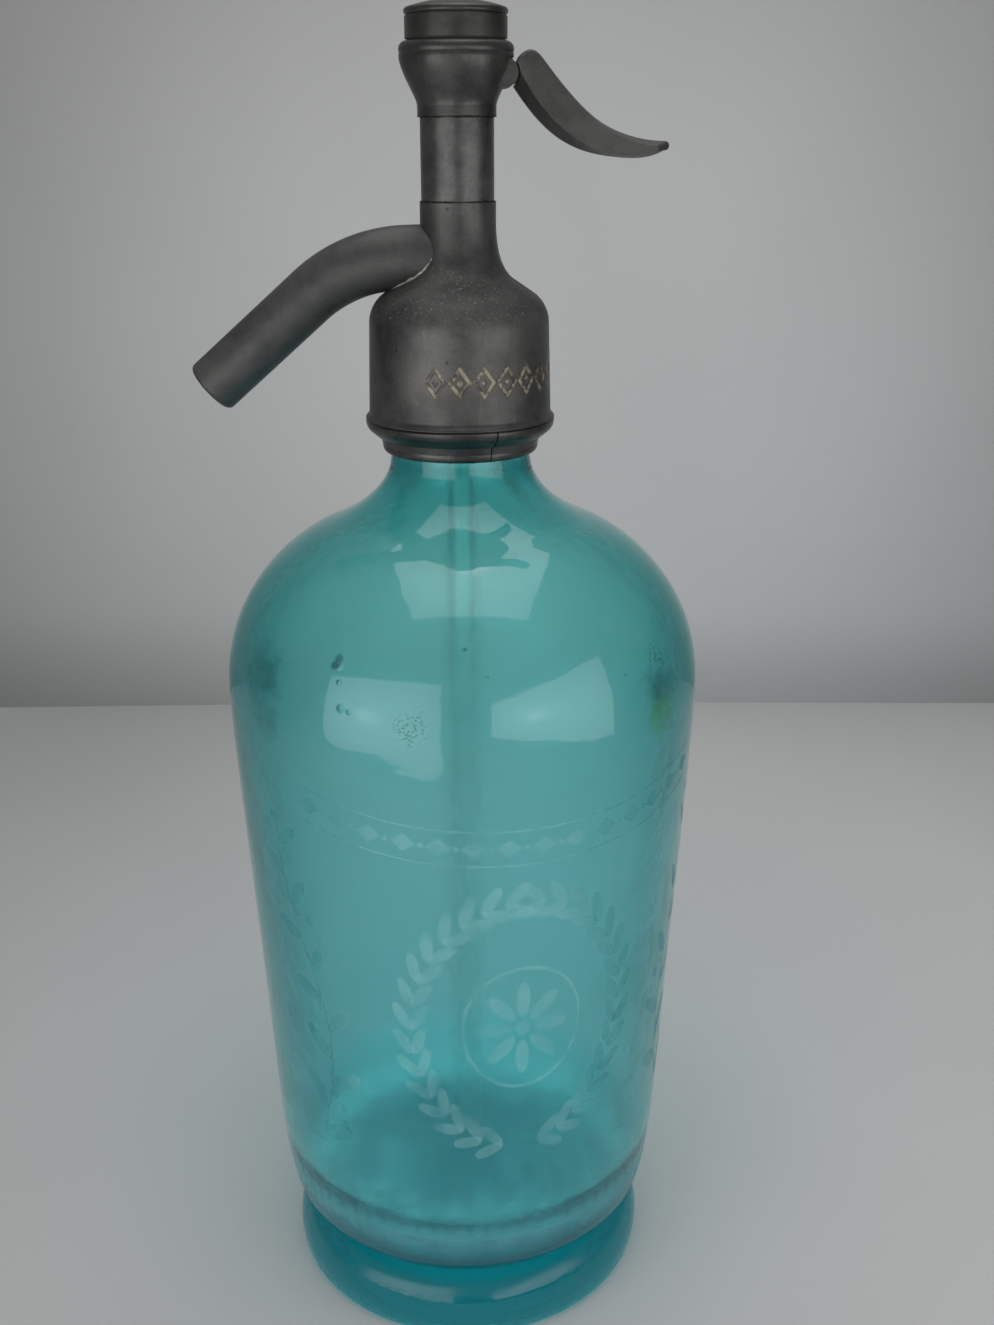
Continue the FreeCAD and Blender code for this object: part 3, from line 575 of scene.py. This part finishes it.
# ---- inner pieces ---------------------------------------------------------------
def lime_film_material():
    """Thin pale lime left in the bottom of the bottle, ragged and fading upwards."""
    material, tree, shader = new_material("lime_film")
    place = object_place(tree)
    level = coordinates(tree, place)[2]
    streaks = noise(tree, stretched(tree, place, (1.0, 1.0, 0.35)), 150.0, 5.0, 0.7)
    patches = noise(tree, place, 45.0, 3.0, 0.6)
    reach = calculate(tree, "MULTIPLY_ADD", streaks, -0.022, level)
    fading = remap(tree, reach, 0.006, 0.040, 1.0, 0.0)
    # Thinner in the middle of the floor than at its edge.
    flat_place = stretched(tree, place, (1.0, 1.0, 0.0))
    from_axis = distance_from(tree, flat_place, (0.0, 0.0, 0.0))
    outward = remap(tree, from_axis, 0.006, 0.036, 0.50, 1.0)
    fading = calculate(tree, "MULTIPLY", fading, outward)
    thickness = calculate(tree, "MULTIPLY", streaks, patches)
    thickness = remap(tree, thickness, 0.14, 0.36, 0.18, 0.46)
    tree.links.new(calculate(tree, "MULTIPLY", thickness, fading), shader.inputs["Alpha"])
    tone = blend_colours(tree, patches, (0.44, 0.56, 0.55, 1.0), (0.66, 0.76, 0.74, 1.0))
    tree.links.new(tone, shader.inputs["Base Color"])
    shader.inputs["Roughness"].default_value = 0.8
    relief = add_node(tree, "ShaderNodeBump", Strength=0.3, Distance=0.0002, Height=streaks)
    tree.links.new(relief.outputs["Normal"], shader.inputs["Normal"])
    return material


def heel_haze_material():
    """Finely scuffed glass, hazier in patches and fading up the wall."""
    material, tree, shader = new_material("heel_haze")
    place = object_place(tree)
    level = coordinates(tree, place)[2]
    scuffs = noise(tree, stretched(tree, place, (1.0, 1.0, 2.2)), 130.0, 6.0, 0.7)
    rising = remap(tree, level, 0.0230, 0.0345)
    reach = calculate(tree, "MULTIPLY_ADD", scuffs, 0.010, level)
    falling = remap(tree, reach, 0.036, 0.046, 1.0, 0.0)
    haze = calculate(tree, "MULTIPLY", rising, falling)
    thickness = remap(tree, scuffs, 0.30, 0.70, 0.28, 0.46)
    tree.links.new(calculate(tree, "MULTIPLY", haze, thickness), shader.inputs["Alpha"])
    tone = blend_colours(tree, scuffs, (0.13, 0.50, 0.54, 1.0), (0.22, 0.70, 0.74, 1.0))
    tree.links.new(tone, shader.inputs["Base Color"])
    shader.inputs["Roughness"].default_value = 0.55
    return material


def soft_material(name, dark, light, scale, rough, bump):
    """Rubber and leather: a mottled, finely grained skin."""
    material, tree, shader = new_material(name)
    place = object_place(tree)
    patches = noise(tree, place, scale, 4.0, 0.6)
    cells = add_node(tree, "ShaderNodeTexVoronoi", Vector=place, Scale=scale * 6)
    tone = blend_colours(tree, patches, (*dark, 1.0), (*light, 1.0))
    tree.links.new(tone, shader.inputs["Base Color"])
    rough = calculate(tree, "MULTIPLY_ADD", patches, 0.2, rough)
    tree.links.new(rough, shader.inputs["Roughness"])
    skin = add_node(tree, "ShaderNodeBump", Strength=bump, Distance=0.0002,
                    Height=cells.outputs["Distance"])
    tree.links.new(skin.outputs["Normal"], shader.inputs["Normal"])
    return material


def dress_nodes():
    """Give every CAD node its finish."""
    head_top = head_box[1].z
    housing_foot, housing_top = (corner.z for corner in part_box("lever_housing"))
    stem = metal("stem_pewter", (0.066, 0.065, 0.065), (0.142, 0.140, 0.137), pitting=0.5,
                 metallic=0.85, bump=0.22, lift=0.05, joints=(head_top, housing_foot))[0]
    spout = metal("spout_pewter", (0.050, 0.051, 0.052), (0.086, 0.086, 0.083), pitting=0.5,
                  metallic=0.6, lift=0.16)[0]
    # Painted shade: the bulb's tones are set darker, partly its own tone and partly standing in
    # for the shade on the bulb and its boss.
    bulb = metal("bulb_pewter", (0.052, 0.051, 0.050), (0.105, 0.103, 0.100),
                 metallic=0.85, lift=0.05, joints=(housing_foot, housing_top))[0]
    cap = metal("cap_pewter", (0.046, 0.046, 0.040), (0.088, 0.088, 0.078),
                metallic=0.8, lift=0.05, joints=(housing_top,))[0]
    ring = metal("ring_pewter", (0.056, 0.057, 0.056), (0.115, 0.114, 0.110))[0]
    lever = metal("lever_pewter", (0.058, 0.058, 0.055), (0.098, 0.097, 0.092), pitting=0.6,
                  metallic=0.65, lift=0.14)[0]
    brass = metal("old_brass", (0.30, 0.21, 0.09), (0.62, 0.47, 0.22), pitting=0.4,
                  metallic=1.0, bump=0.2)[0]
    steel = metal("old_steel", (0.28, 0.28, 0.29), (0.55, 0.55, 0.56), pitting=0.3,
                  metallic=1.0, bump=0.2)[0]
    rubber = soft_material("old_rubber", (0.018, 0.017, 0.016), (0.045, 0.042, 0.040),
                           scale=180.0, rough=0.6, bump=0.2)
    leather = soft_material("oiled_leather", (0.030, 0.022, 0.018), (0.060, 0.045, 0.035),
                            scale=220.0, rough=0.5, bump=0.5)
    finishes = {
        bottle_glass(): ["glass_bottle"],
        tube_glass(): ["dip_tube"],
        head_pewter(): ["head_body"],
        stem: ["stem_tube"],
        spout: ["spout"],
        bulb: ["lever_housing"],
        cap: ["top_cap"],
        ring: ["neck_ring_front", "neck_ring_back", "tube_nut"],
        lever: ["lever"],
        brass: ["valve_seat", "gland_nut", "piston_rod", "piston_head", "washer_screw",
                "spring_washer"],
        steel: ["lever_pin", "return_spring"],
        rubber: ["tube_grommet", "neck_gasket", "valve_washer"],
        leather: ["stem_washer", "gland_packing", "cap_washer"],
    }
    for material, names in finishes.items():
        for name in names:
            mesh = nodes[name].data
            mesh.materials.clear()
            mesh.materials.append(material)


def squeezed_spring():
    """The return spring copied as a piece of its own and hung on the siphon's body; in the siphon
    the piston squeezes it as it rises.
    """
    spring = copied(nodes["return_spring"], Matrix.Identity(4))
    spring.name = "squeezed_spring"
    spring.data.name = "squeezed_spring"
    edit(spring)
    bpy.ops.mesh.select_all(action="SELECT")
    bpy.ops.mesh.remove_doubles(threshold=0.000001)
    finish_edit()
    bpy.ops.object.shade_smooth_by_angle(angle=math.radians(30))
    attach(spring, "siphon")
    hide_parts("return_spring")
    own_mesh(spring)


# ---- etched ornament --------------------------------------------------------------
def flat_motif(name, corners, half_length, half_height):
    """Flat filled shape facing the front, its middle at the origin."""
    deselect()
    bpy.ops.mesh.primitive_circle_add(vertices=corners, radius=1.0, fill_type="TRIFAN",
                                      rotation=(math.pi / 2, 0, 0))
    motif = named(name)
    motif.data.transform(Matrix.Diagonal((half_length, 1.0, half_height, 1.0)))
    return motif


def leaf_motif():
    """Pointed leaf along X, 1 m long, its foot at the origin."""
    leaf = flat_motif("leaf", 14, 0.5, 0.19)
    select_vertices(leaf, lambda place: place.x > 0.49)
    bpy.ops.transform.translate(value=(0.14, 0, 0))
    bpy.ops.mesh.select_all(action="SELECT")
    bpy.ops.transform.translate(value=(0.5, 0, 0))
    finish_edit()
    return leaf


def ring_motif(name, radius, width):
    """Flat round line facing the front."""
    deselect()
    bpy.ops.mesh.primitive_circle_add(vertices=72, radius=radius, rotation=(math.pi / 2, 0, 0))
    ring = named(name)
    edit(ring)
    bpy.ops.mesh.select_all(action="SELECT")
    bpy.ops.mesh.extrude_edges_move()
    share = (radius - width) / radius
    bpy.ops.transform.resize(value=(share, share, share), center_override=(0, 0, 0))
    finish_edit()
    return ring


def on_glass(azimuth, level, turn=0.0, size=1.0, along=0.0, up=0.0):
    """Place on the bottle's front: turned in its own plane, moved, then carried round."""
    stand_off = Matrix.Translation((along, -body_radius - wrap_reach, level + up))
    return (Matrix.Rotation(math.radians(azimuth), 4, "Z") @ stand_off
            @ Matrix.Rotation(math.radians(-turn), 4, "Y") @ Matrix.Scale(size, 4))


def wrapped(name, pieces, material):
    """Join flat motifs and lay them on the glass."""
    return on_the_glass(joined(name, pieces), material)


def on_the_glass(sheet, material):
    """Lay a sheet on the bottle, just off its surface."""
    apply_modifier(sheet, "SHRINKWRAP", target=nodes["glass_bottle"], offset=etch_depth,
                   wrap_method="NEAREST_SURFACEPOINT", wrap_mode="OUTSIDE_SURFACE")
    edit(sheet)
    bpy.ops.mesh.select_all(action="SELECT")
    bpy.ops.mesh.normals_make_consistent(inside=False)
    finish_edit()
    bpy.ops.object.shade_smooth()
    sheet.data.materials.clear()
    sheet.data.materials.append(material)
    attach(sheet, "siphon")
    return sheet


def degrees_round(arc_length):
    return math.degrees(arc_length / body_radius)


def etch_wreath(leaf, dot, ring, material, azimuth, level):
    """Oval wreath of paired leaves round an eight-petalled rosette in a ring."""
    half_width = 0.0275
    half_height = 0.0330
    leaves_each_side = 15
    pieces = []
    for side in (1, -1):
        for step in range(leaves_each_side):
            around = math.radians(-80 + 160 * step / (leaves_each_side - 1))
            x = side * half_width * math.cos(around)
            z = half_height * math.sin(around)
            heading = math.degrees(math.atan2(half_height * math.cos(around),
                                              -side * half_width * math.sin(around)))
            for spread in (-32, 32):
                pieces.append(copied(leaf, on_glass(azimuth + degrees_round(x), level + z,
                                                    heading + spread, 0.0082)))
    for step in range(8):
        turn = 45 * step
        foot = Vector((math.cos(math.radians(turn)), math.sin(math.radians(turn)))) * 0.0030
        pieces.append(copied(leaf, on_glass(azimuth, level, turn, 0.0095, foot.x, foot.y)))
    pieces.append(copied(dot, on_glass(azimuth, level, 0, 0.0020)))
    pieces.append(copied(ring, on_glass(azimuth, level)))
    return wrapped("etched_wreath", pieces, material)


def etch_sprig(name, leaf, dot, material, azimuth, level, side):
    """Upright curving stem with alternate leaves and groups of berries."""
    height = 0.078
    steps = 11
    sway = 0.006
    pieces = []
    for step in range(steps):
        share = step / (steps - 1)
        along = side * sway * math.sin(share * math.pi * 1.5)
        slope = side * sway * math.pi * 1.5 * math.cos(share * math.pi * 1.5) / height
        heading = 90 - math.degrees(math.atan(slope))
        around = azimuth + degrees_round(along)
        z = level + share * height
        stem = on_glass(around, z, heading) @ Matrix.Diagonal((0.0088, 1.0, 0.0022, 1.0))
        pieces.append(copied(leaf, stem))
        spread = 52 if step % 2 else -52
        pieces.append(copied(leaf, on_glass(around, z, heading + spread, 0.0125 - 0.004 * share)))
        if step % 3 == 1:
            for berry in range(3):
                turn = math.radians(heading - spread + 40 * (berry - 1))
                reach = 0.0068
                pieces.append(copied(dot, on_glass(around, z, 0, 0.0013, reach * math.cos(turn),
                                                   reach * math.sin(turn))))
    return wrapped(name, pieces, material)


def etch_ribbon(lozenge, bar, dot, material, first, last, level, sag):
    """Sagging ribbon: two fine lines with lozenges and dots between them."""
    step = 4.0
    half_height = 0.0042
    count = int((last - first) / step)
    length = count * step * math.pi / 180 * body_radius
    pieces = []
    for index in range(count + 1):
        azimuth = first + step * index
        share = 2 * index / count - 1
        z = level - sag * (1 - share * share)
        slope = math.degrees(math.atan(4 * sag * share / length))
        for edge in (1, -1):
            pieces.append(copied(bar, on_glass(azimuth, z + edge * half_height, slope)))
        if index % 2 == 0:
            pieces.append(copied(lozenge, on_glass(azimuth, z, slope)))
        else:
            pieces.append(copied(dot, on_glass(azimuth, z, 0, 0.0007)))
    return wrapped("etched_ribbon", pieces, material)


def etch_bottle():
    material = etched_glass()
    leaf = leaf_motif()
    dot = flat_motif("dot", 12, 1.0, 1.0)
    lozenge = flat_motif("lozenge", 4, 0.0030, 0.0022)
    bar = flat_motif("bar", 8, 0.0022, 0.0003)
    ring = ring_motif("ring", 0.0165, 0.0009)
    sources = (leaf, dot, lozenge, bar, ring)
    centre = 14.0
    ribbon_reach = 52.0
    sprig_aside = 58.0
    sprig_level = 0.056
    etch_wreath(leaf, dot, ring, material, centre, level=0.094)
    etch_ribbon(lozenge, bar, dot, material, centre - ribbon_reach, centre + ribbon_reach,
                level=0.147, sag=0.006)
    for name, side in (("etched_sprig_left", 1), ("etched_sprig_right", -1)):
        azimuth = centre - side * sprig_aside
        etch_sprig(name, leaf, dot, material, azimuth, sprig_level, side)
    for source in sources:
        bpy.data.objects.remove(source)


# ---- lime in the bottle and haze on its heel -----------------------------------------
def spun_sheet(name, run, faces_inwards=False):
    """Open sheet turned round the axis from a run of points, each a radius and a level.

    A small plane is merged to one vertex, and the run is extruded from it.
    """
    deselect()
    bpy.ops.mesh.primitive_plane_add(size=0.01)
    sheet = named(name)
    edit(sheet)
    bpy.ops.mesh.select_all(action="SELECT")
    bpy.ops.mesh.merge(type="CENTER")
    bpy.ops.mesh.select_all(action="SELECT")
    bpy.ops.transform.translate(value=(run[0][0], 0, run[0][1]))
    for (radius, level), (next_radius, next_level) in zip(run, run[1:]):
        bpy.ops.mesh.extrude_verts_indiv()
        bpy.ops.transform.translate(value=(next_radius - radius, 0, next_level - level))
    bpy.ops.mesh.select_all(action="SELECT")
    bpy.ops.mesh.spin(steps=72, angle=2 * math.pi, center=(0, 0, 0), axis=(0, 0, 1))
    bpy.ops.mesh.select_all(action="SELECT")
    bpy.ops.mesh.remove_doubles(threshold=0.00001)
    bpy.ops.mesh.normals_make_consistent(inside=faces_inwards)
    finish_edit()
    bpy.ops.object.shade_smooth()
    return sheet


def lime_film():
    """Film that follows the bottle's inner floor and the foot of its wall."""
    stand_off = 0.00015
    floor_level = 0.027 + stand_off
    corner_radius = 0.014 - stand_off
    wall_radius = 0.0455 - stand_off
    wall_foot = 0.041
    wall_top = 0.064
    wall_top_radius = 0.0463 - stand_off
    corner_steps = 10
    run = [(0.0, floor_level), (0.012, floor_level), (0.022, floor_level)]
    for step in range(corner_steps + 1):
        turn = math.radians(-90 + 90 * step / corner_steps)
        run.append((wall_radius - corner_radius + corner_radius * math.cos(turn),
                    floor_level + corner_radius + corner_radius * math.sin(turn)))
    run.append(((wall_radius + wall_top_radius) / 2, (wall_foot + wall_top) / 2))
    run.append((wall_top_radius, wall_top))
    film = spun_sheet("lime_film", run, faces_inwards=True)
    film.data.materials.append(lime_film_material())
    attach(film, "siphon")


def heel_haze():
    """Haze of fine scuffs on the outside of the heel, where the bottle's wall turns in."""
    heel_inner = 0.039
    heel_level = 0.02805
    heel_width = 0.0085 + etch_depth
    heel_height = 0.00945 + etch_depth
    heel_steps = 14
    wall_points = ((0.0482, 0.033), (0.0492, 0.041))
    run = []
    for step in range(1, heel_steps):
        turn = math.radians(-90 + 90 * step / heel_steps)
        run.append((heel_inner + heel_width * math.cos(turn),
                    heel_level + heel_height * math.sin(turn)))
    run.extend(wall_points)
    haze = spun_sheet("heel_haze", run)
    on_the_glass(haze, heel_haze_material())


# ---- solder seam ------------------------------------------------------------------
def solder_metal():
    """Crusted pale solder."""
    material, tree, shader = new_material("old_solder")
    place = object_place(tree)
    crust = noise(tree, place, 900.0, 4.0, 0.7)
    tone = blend_colours(tree, remap(tree, crust, 0.35, 0.65), (0.13, 0.125, 0.105, 1.0),
                         (0.40, 0.385, 0.33, 1.0))
    tree.links.new(tone, shader.inputs["Base Color"])
    shader.inputs["Metallic"].default_value = 0.35
    tree.links.new(calculate(tree, "MULTIPLY_ADD", crust, 0.3, 0.35), shader.inputs["Roughness"])
    relief = add_node(tree, "ShaderNodeBump", Strength=0.5, Distance=0.0002, Height=crust)
    tree.links.new(relief.outputs["Normal"], shader.inputs["Normal"])
    return material


def solder_seam():
    """Ragged bead of solder along the front of the joint where the spout leaves the head."""
    # Each point of the bead and how thick it is there.
    run = (
        ((-0.0164, -0.0004, 0.2526), 0.3), ((-0.0152, -0.0026, 0.2532), 0.5),
        ((-0.0131, -0.0043, 0.2543), 0.9), ((-0.0111, -0.0053, 0.2553), 1.2),
        ((-0.0092, -0.0062, 0.2564), 0.9), ((-0.0074, -0.0069, 0.2579), 1.2),
        ((-0.0063, -0.0071, 0.2592), 0.5), ((-0.0058, -0.0071, 0.2603), 0.2),
    )
    bead_radius = 0.00036
    deselect()
    bpy.ops.curve.primitive_bezier_curve_add()
    bead = bpy.context.object
    bead.data.splines.clear()
    path = bead.data.splines.new("NURBS")
    path.points.add(len(run) - 1)
    for point, (place, thickness) in zip(path.points, run):
        point.co = (*place, 1.0)
        point.radius = thickness
    path.order_u = 3
    path.use_endpoint_u = True
    bead.data.dimensions = "3D"
    bead.data.bevel_depth = bead_radius
    bead.data.bevel_resolution = 4
    bead.data.resolution_u = 14
    bead.data.use_fill_caps = True
    bpy.ops.object.convert(target="MESH")
    bead = named("solder_seam")
    lumps = bpy.data.textures.new("lumps", "CLOUDS")
    lumps.noise_scale = 0.0011
    apply_modifier(bead, "SUBSURF", levels=1, render_levels=1)
    apply_modifier(bead, "DISPLACE", texture=lumps, strength=0.0005, mid_level=0.5,
                   texture_coords="LOCAL")
    bpy.ops.object.shade_smooth()
    bead.data.materials.clear()
    bead.data.materials.append(solder_metal())
    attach(bead, "siphon")


# ---- stage --------------------------------------------------------------------------
def cloth_material(name, tone, stretch, fold_depth, shade_place, darkest, low_shade):
    """Plain cloth with soft folds drawn out by stretch, seen from its front only, with painted
    light and shade.

    Round shade_place it keeps its full tone, as a painted pool of light; further out painted
    shade takes it down to the darkest share of it, and near the level of the table to low_shade.
    """
    material, tree, shader = new_material(name)
    place = object_place(tree)
    folds = noise(tree, stretched(tree, place, stretch), 5.5, 2.0, 0.45)
    weave = noise(tree, place, 900.0, 2.0)
    # Painted shade in the folds: the fold noise darkens the tone by fold_shade.
    fold_shade = 0.86
    dark = tuple(channel * fold_shade for channel in tone)
    colour = blend_colours(tree, folds, (*dark, 1.0), (*tone, 1.0))
    # Painted light round shade_place, and painted shade away from it and near the level of the
    # table.
    away = distance_from(tree, place, shade_place)
    shade = remap(tree, away, 0.07, 0.42, 1.0, darkest)
    level = coordinates(tree, place)[2]
    shade = calculate(tree, "MULTIPLY", shade, remap(tree, level, 0.0, 0.06, low_shade, 1.0))
    colour = blend_colours(tree, 1.0, colour, shade, "MULTIPLY")
    tree.links.new(colour, shader.inputs["Base Color"])
    shader.inputs["Roughness"].default_value = 0.95
    shader.inputs["Specular IOR Level"].default_value = 0.1
    hang = add_node(tree, "ShaderNodeBump", Strength=1.0, Distance=fold_depth, Height=folds)
    relief = add_node(tree, "ShaderNodeBump", Strength=0.15, Distance=0.0004, Height=weave,
                      Normal=hang.outputs["Normal"])
    tree.links.new(relief.outputs["Normal"], shader.inputs["Normal"])
    back = add_node(tree, "ShaderNodeNewGeometry").outputs["Backfacing"]
    clear = add_node(tree, "ShaderNodeBsdfTransparent")
    choice = tree.nodes.new("ShaderNodeMixShader")
    tree.links.new(back, choice.inputs[0])
    tree.links.new(shader.outputs[0], choice.inputs[1])
    tree.links.new(clear.outputs[0], choice.inputs[2])
    tree.links.new(choice.outputs[0], tree.nodes["Material Output"].inputs["Surface"])
    return material


def build_stage():
    floor_half_width = 1.3
    wall_height = 0.56
    wall_sunk = 0.002       # how far the wall reaches below the floor
    wall_place = 0.402
    wall_turn = math.radians(-2.2)
    air_gap = 0.0001        # the cloth lies this far under the foot
    deselect()
    bpy.ops.mesh.primitive_plane_add(size=2 * floor_half_width,
                                     location=(0, wall_place - floor_half_width, -air_gap))
    floor = named("floor")
    floor.data.materials.append(cloth_material(
        "pale_cloth", (0.47, 0.47, 0.47), stretch=(1.0, 0.6, 1.0), fold_depth=0.010,
        shade_place=(0.12, 0.18, 0.0), darkest=0.72, low_shade=1.0))
    deselect()
    bpy.ops.mesh.primitive_plane_add(size=1.0, rotation=(math.pi / 2, 0, wall_turn),
                                     scale=(2 * floor_half_width, wall_height, 1.0),
                                     location=(0, wall_place, wall_height / 2 - wall_sunk))
    wall = named("wall")
    wall.data.materials.append(cloth_material(
        "grey_backdrop", (0.58, 0.58, 0.58), stretch=(1.0, 1.0, 0.45), fold_depth=0.012,
        shade_place=(0.06, wall_place, 0.15), darkest=0.50, low_shade=0.78))


def softbox(name, centre, target, width, height, radiance):
    """Rectangular lamp facing its target, which the camera doesn't see."""
    lamp = bpy.data.lights.new(name, "AREA")
    lamp.shape = "RECTANGLE"
    lamp.size = width
    lamp.size_y = height
    lamp.energy = radiance * math.pi * width * height
    holder = bpy.data.objects.new(name, lamp)
    bpy.context.scene.collection.objects.link(holder)
    holder.location = centre
    holder.rotation_euler = (Vector(target) - Vector(centre)).to_track_quat("-Z", "Y").to_euler()
    holder.visible_camera = False
    return holder


def add_glow(holder, reach, strength):
    """Make a lamp brighter towards the middle of its face; reach is a share of its sides."""
    holder.data.use_nodes = True
    tree = holder.data.node_tree
    face = add_node(tree, "ShaderNodeNewGeometry").outputs["Parametric"]
    away = distance_from(tree, face, (0.5, 0.5, 0.0))
    glow = remap(tree, away, 0.0, reach, strength, 0.0)
    broad = remap(tree, away, 0.0, 0.9, 1.0, 0.0)
    glow = calculate(tree, "MULTIPLY_ADD", broad, 0.45, glow)
    glow = calculate(tree, "ADD", glow, 0.65)
    tree.links.new(glow, tree.nodes["Emission"].inputs["Strength"])


def light_scene():
    """Two windows and a ceiling light that the object mirrors, and an even overhead fill."""
    window_radiance = 1.6
    left = softbox("window_left", centre=(-0.265, -0.29, 0.17), target=(-0.18, 0.0, 0.17),
                   width=0.43, height=0.31, radiance=window_radiance)
    right = softbox("window_right", centre=(0.235, -0.39, 0.19), target=(-0.035, -0.30, 0.19),
                    width=0.56, height=0.25, radiance=window_radiance)
    ceiling = softbox("ceiling_light", centre=(0.06, 0.22, 1.15), target=(0.06, 0.22, 0.0),
                      width=0.83, height=1.20, radiance=window_radiance)
    add_glow(left, reach=0.16, strength=0.8)
    add_glow(right, reach=0.16, strength=0.8)
    add_glow(ceiling, reach=0.16, strength=1.2)
    fill = softbox("overhead_fill", centre=(0, -0.9, 1.5), target=(0, 0.1, 0.05),
                   width=2.4, height=2.4, radiance=1.25)
    fill.visible_glossy = False
    fill.visible_transmission = False
    world = bpy.data.worlds.new("room")
    world.use_nodes = True
    tree = world.node_tree
    direction = add_node(tree, "ShaderNodeTexCoord").outputs["Generated"]
    upward = coordinates(tree, direction)[2]
    room = blend_colours(tree, remap(tree, upward, 0.15, 0.85), (0.15, 0.15, 0.15, 1.0),
                         (0.22, 0.22, 0.22, 1.0))
    tree.links.new(room, tree.nodes["Background"].inputs["Color"])
    bpy.context.scene.world = world
    bpy.context.scene.view_settings.view_transform = "Standard"


def place_camera():
    data = bpy.data.cameras.new("camera")
    data.lens = camera_lens
    data.sensor_width = camera_sensor
    data.sensor_fit = "AUTO"
    data.clip_start = 0.01
    camera = bpy.data.objects.new("camera", data)
    bpy.context.scene.collection.objects.link(camera)
    camera.matrix_world = (Matrix.Translation((0, -camera_distance, camera_height))
                           @ Matrix.Rotation(math.radians(camera_yaw), 4, "Z")
                           @ Matrix.Rotation(math.radians(camera_pitch), 4, "X")
                           @ Matrix.Rotation(math.radians(camera_roll), 4, "Z"))
    bpy.context.scene.camera = camera


dress_nodes()
squeezed_spring()
lime_film()
heel_haze()
solder_seam()
etch_bottle()
build_stage()
light_scene()
place_camera()
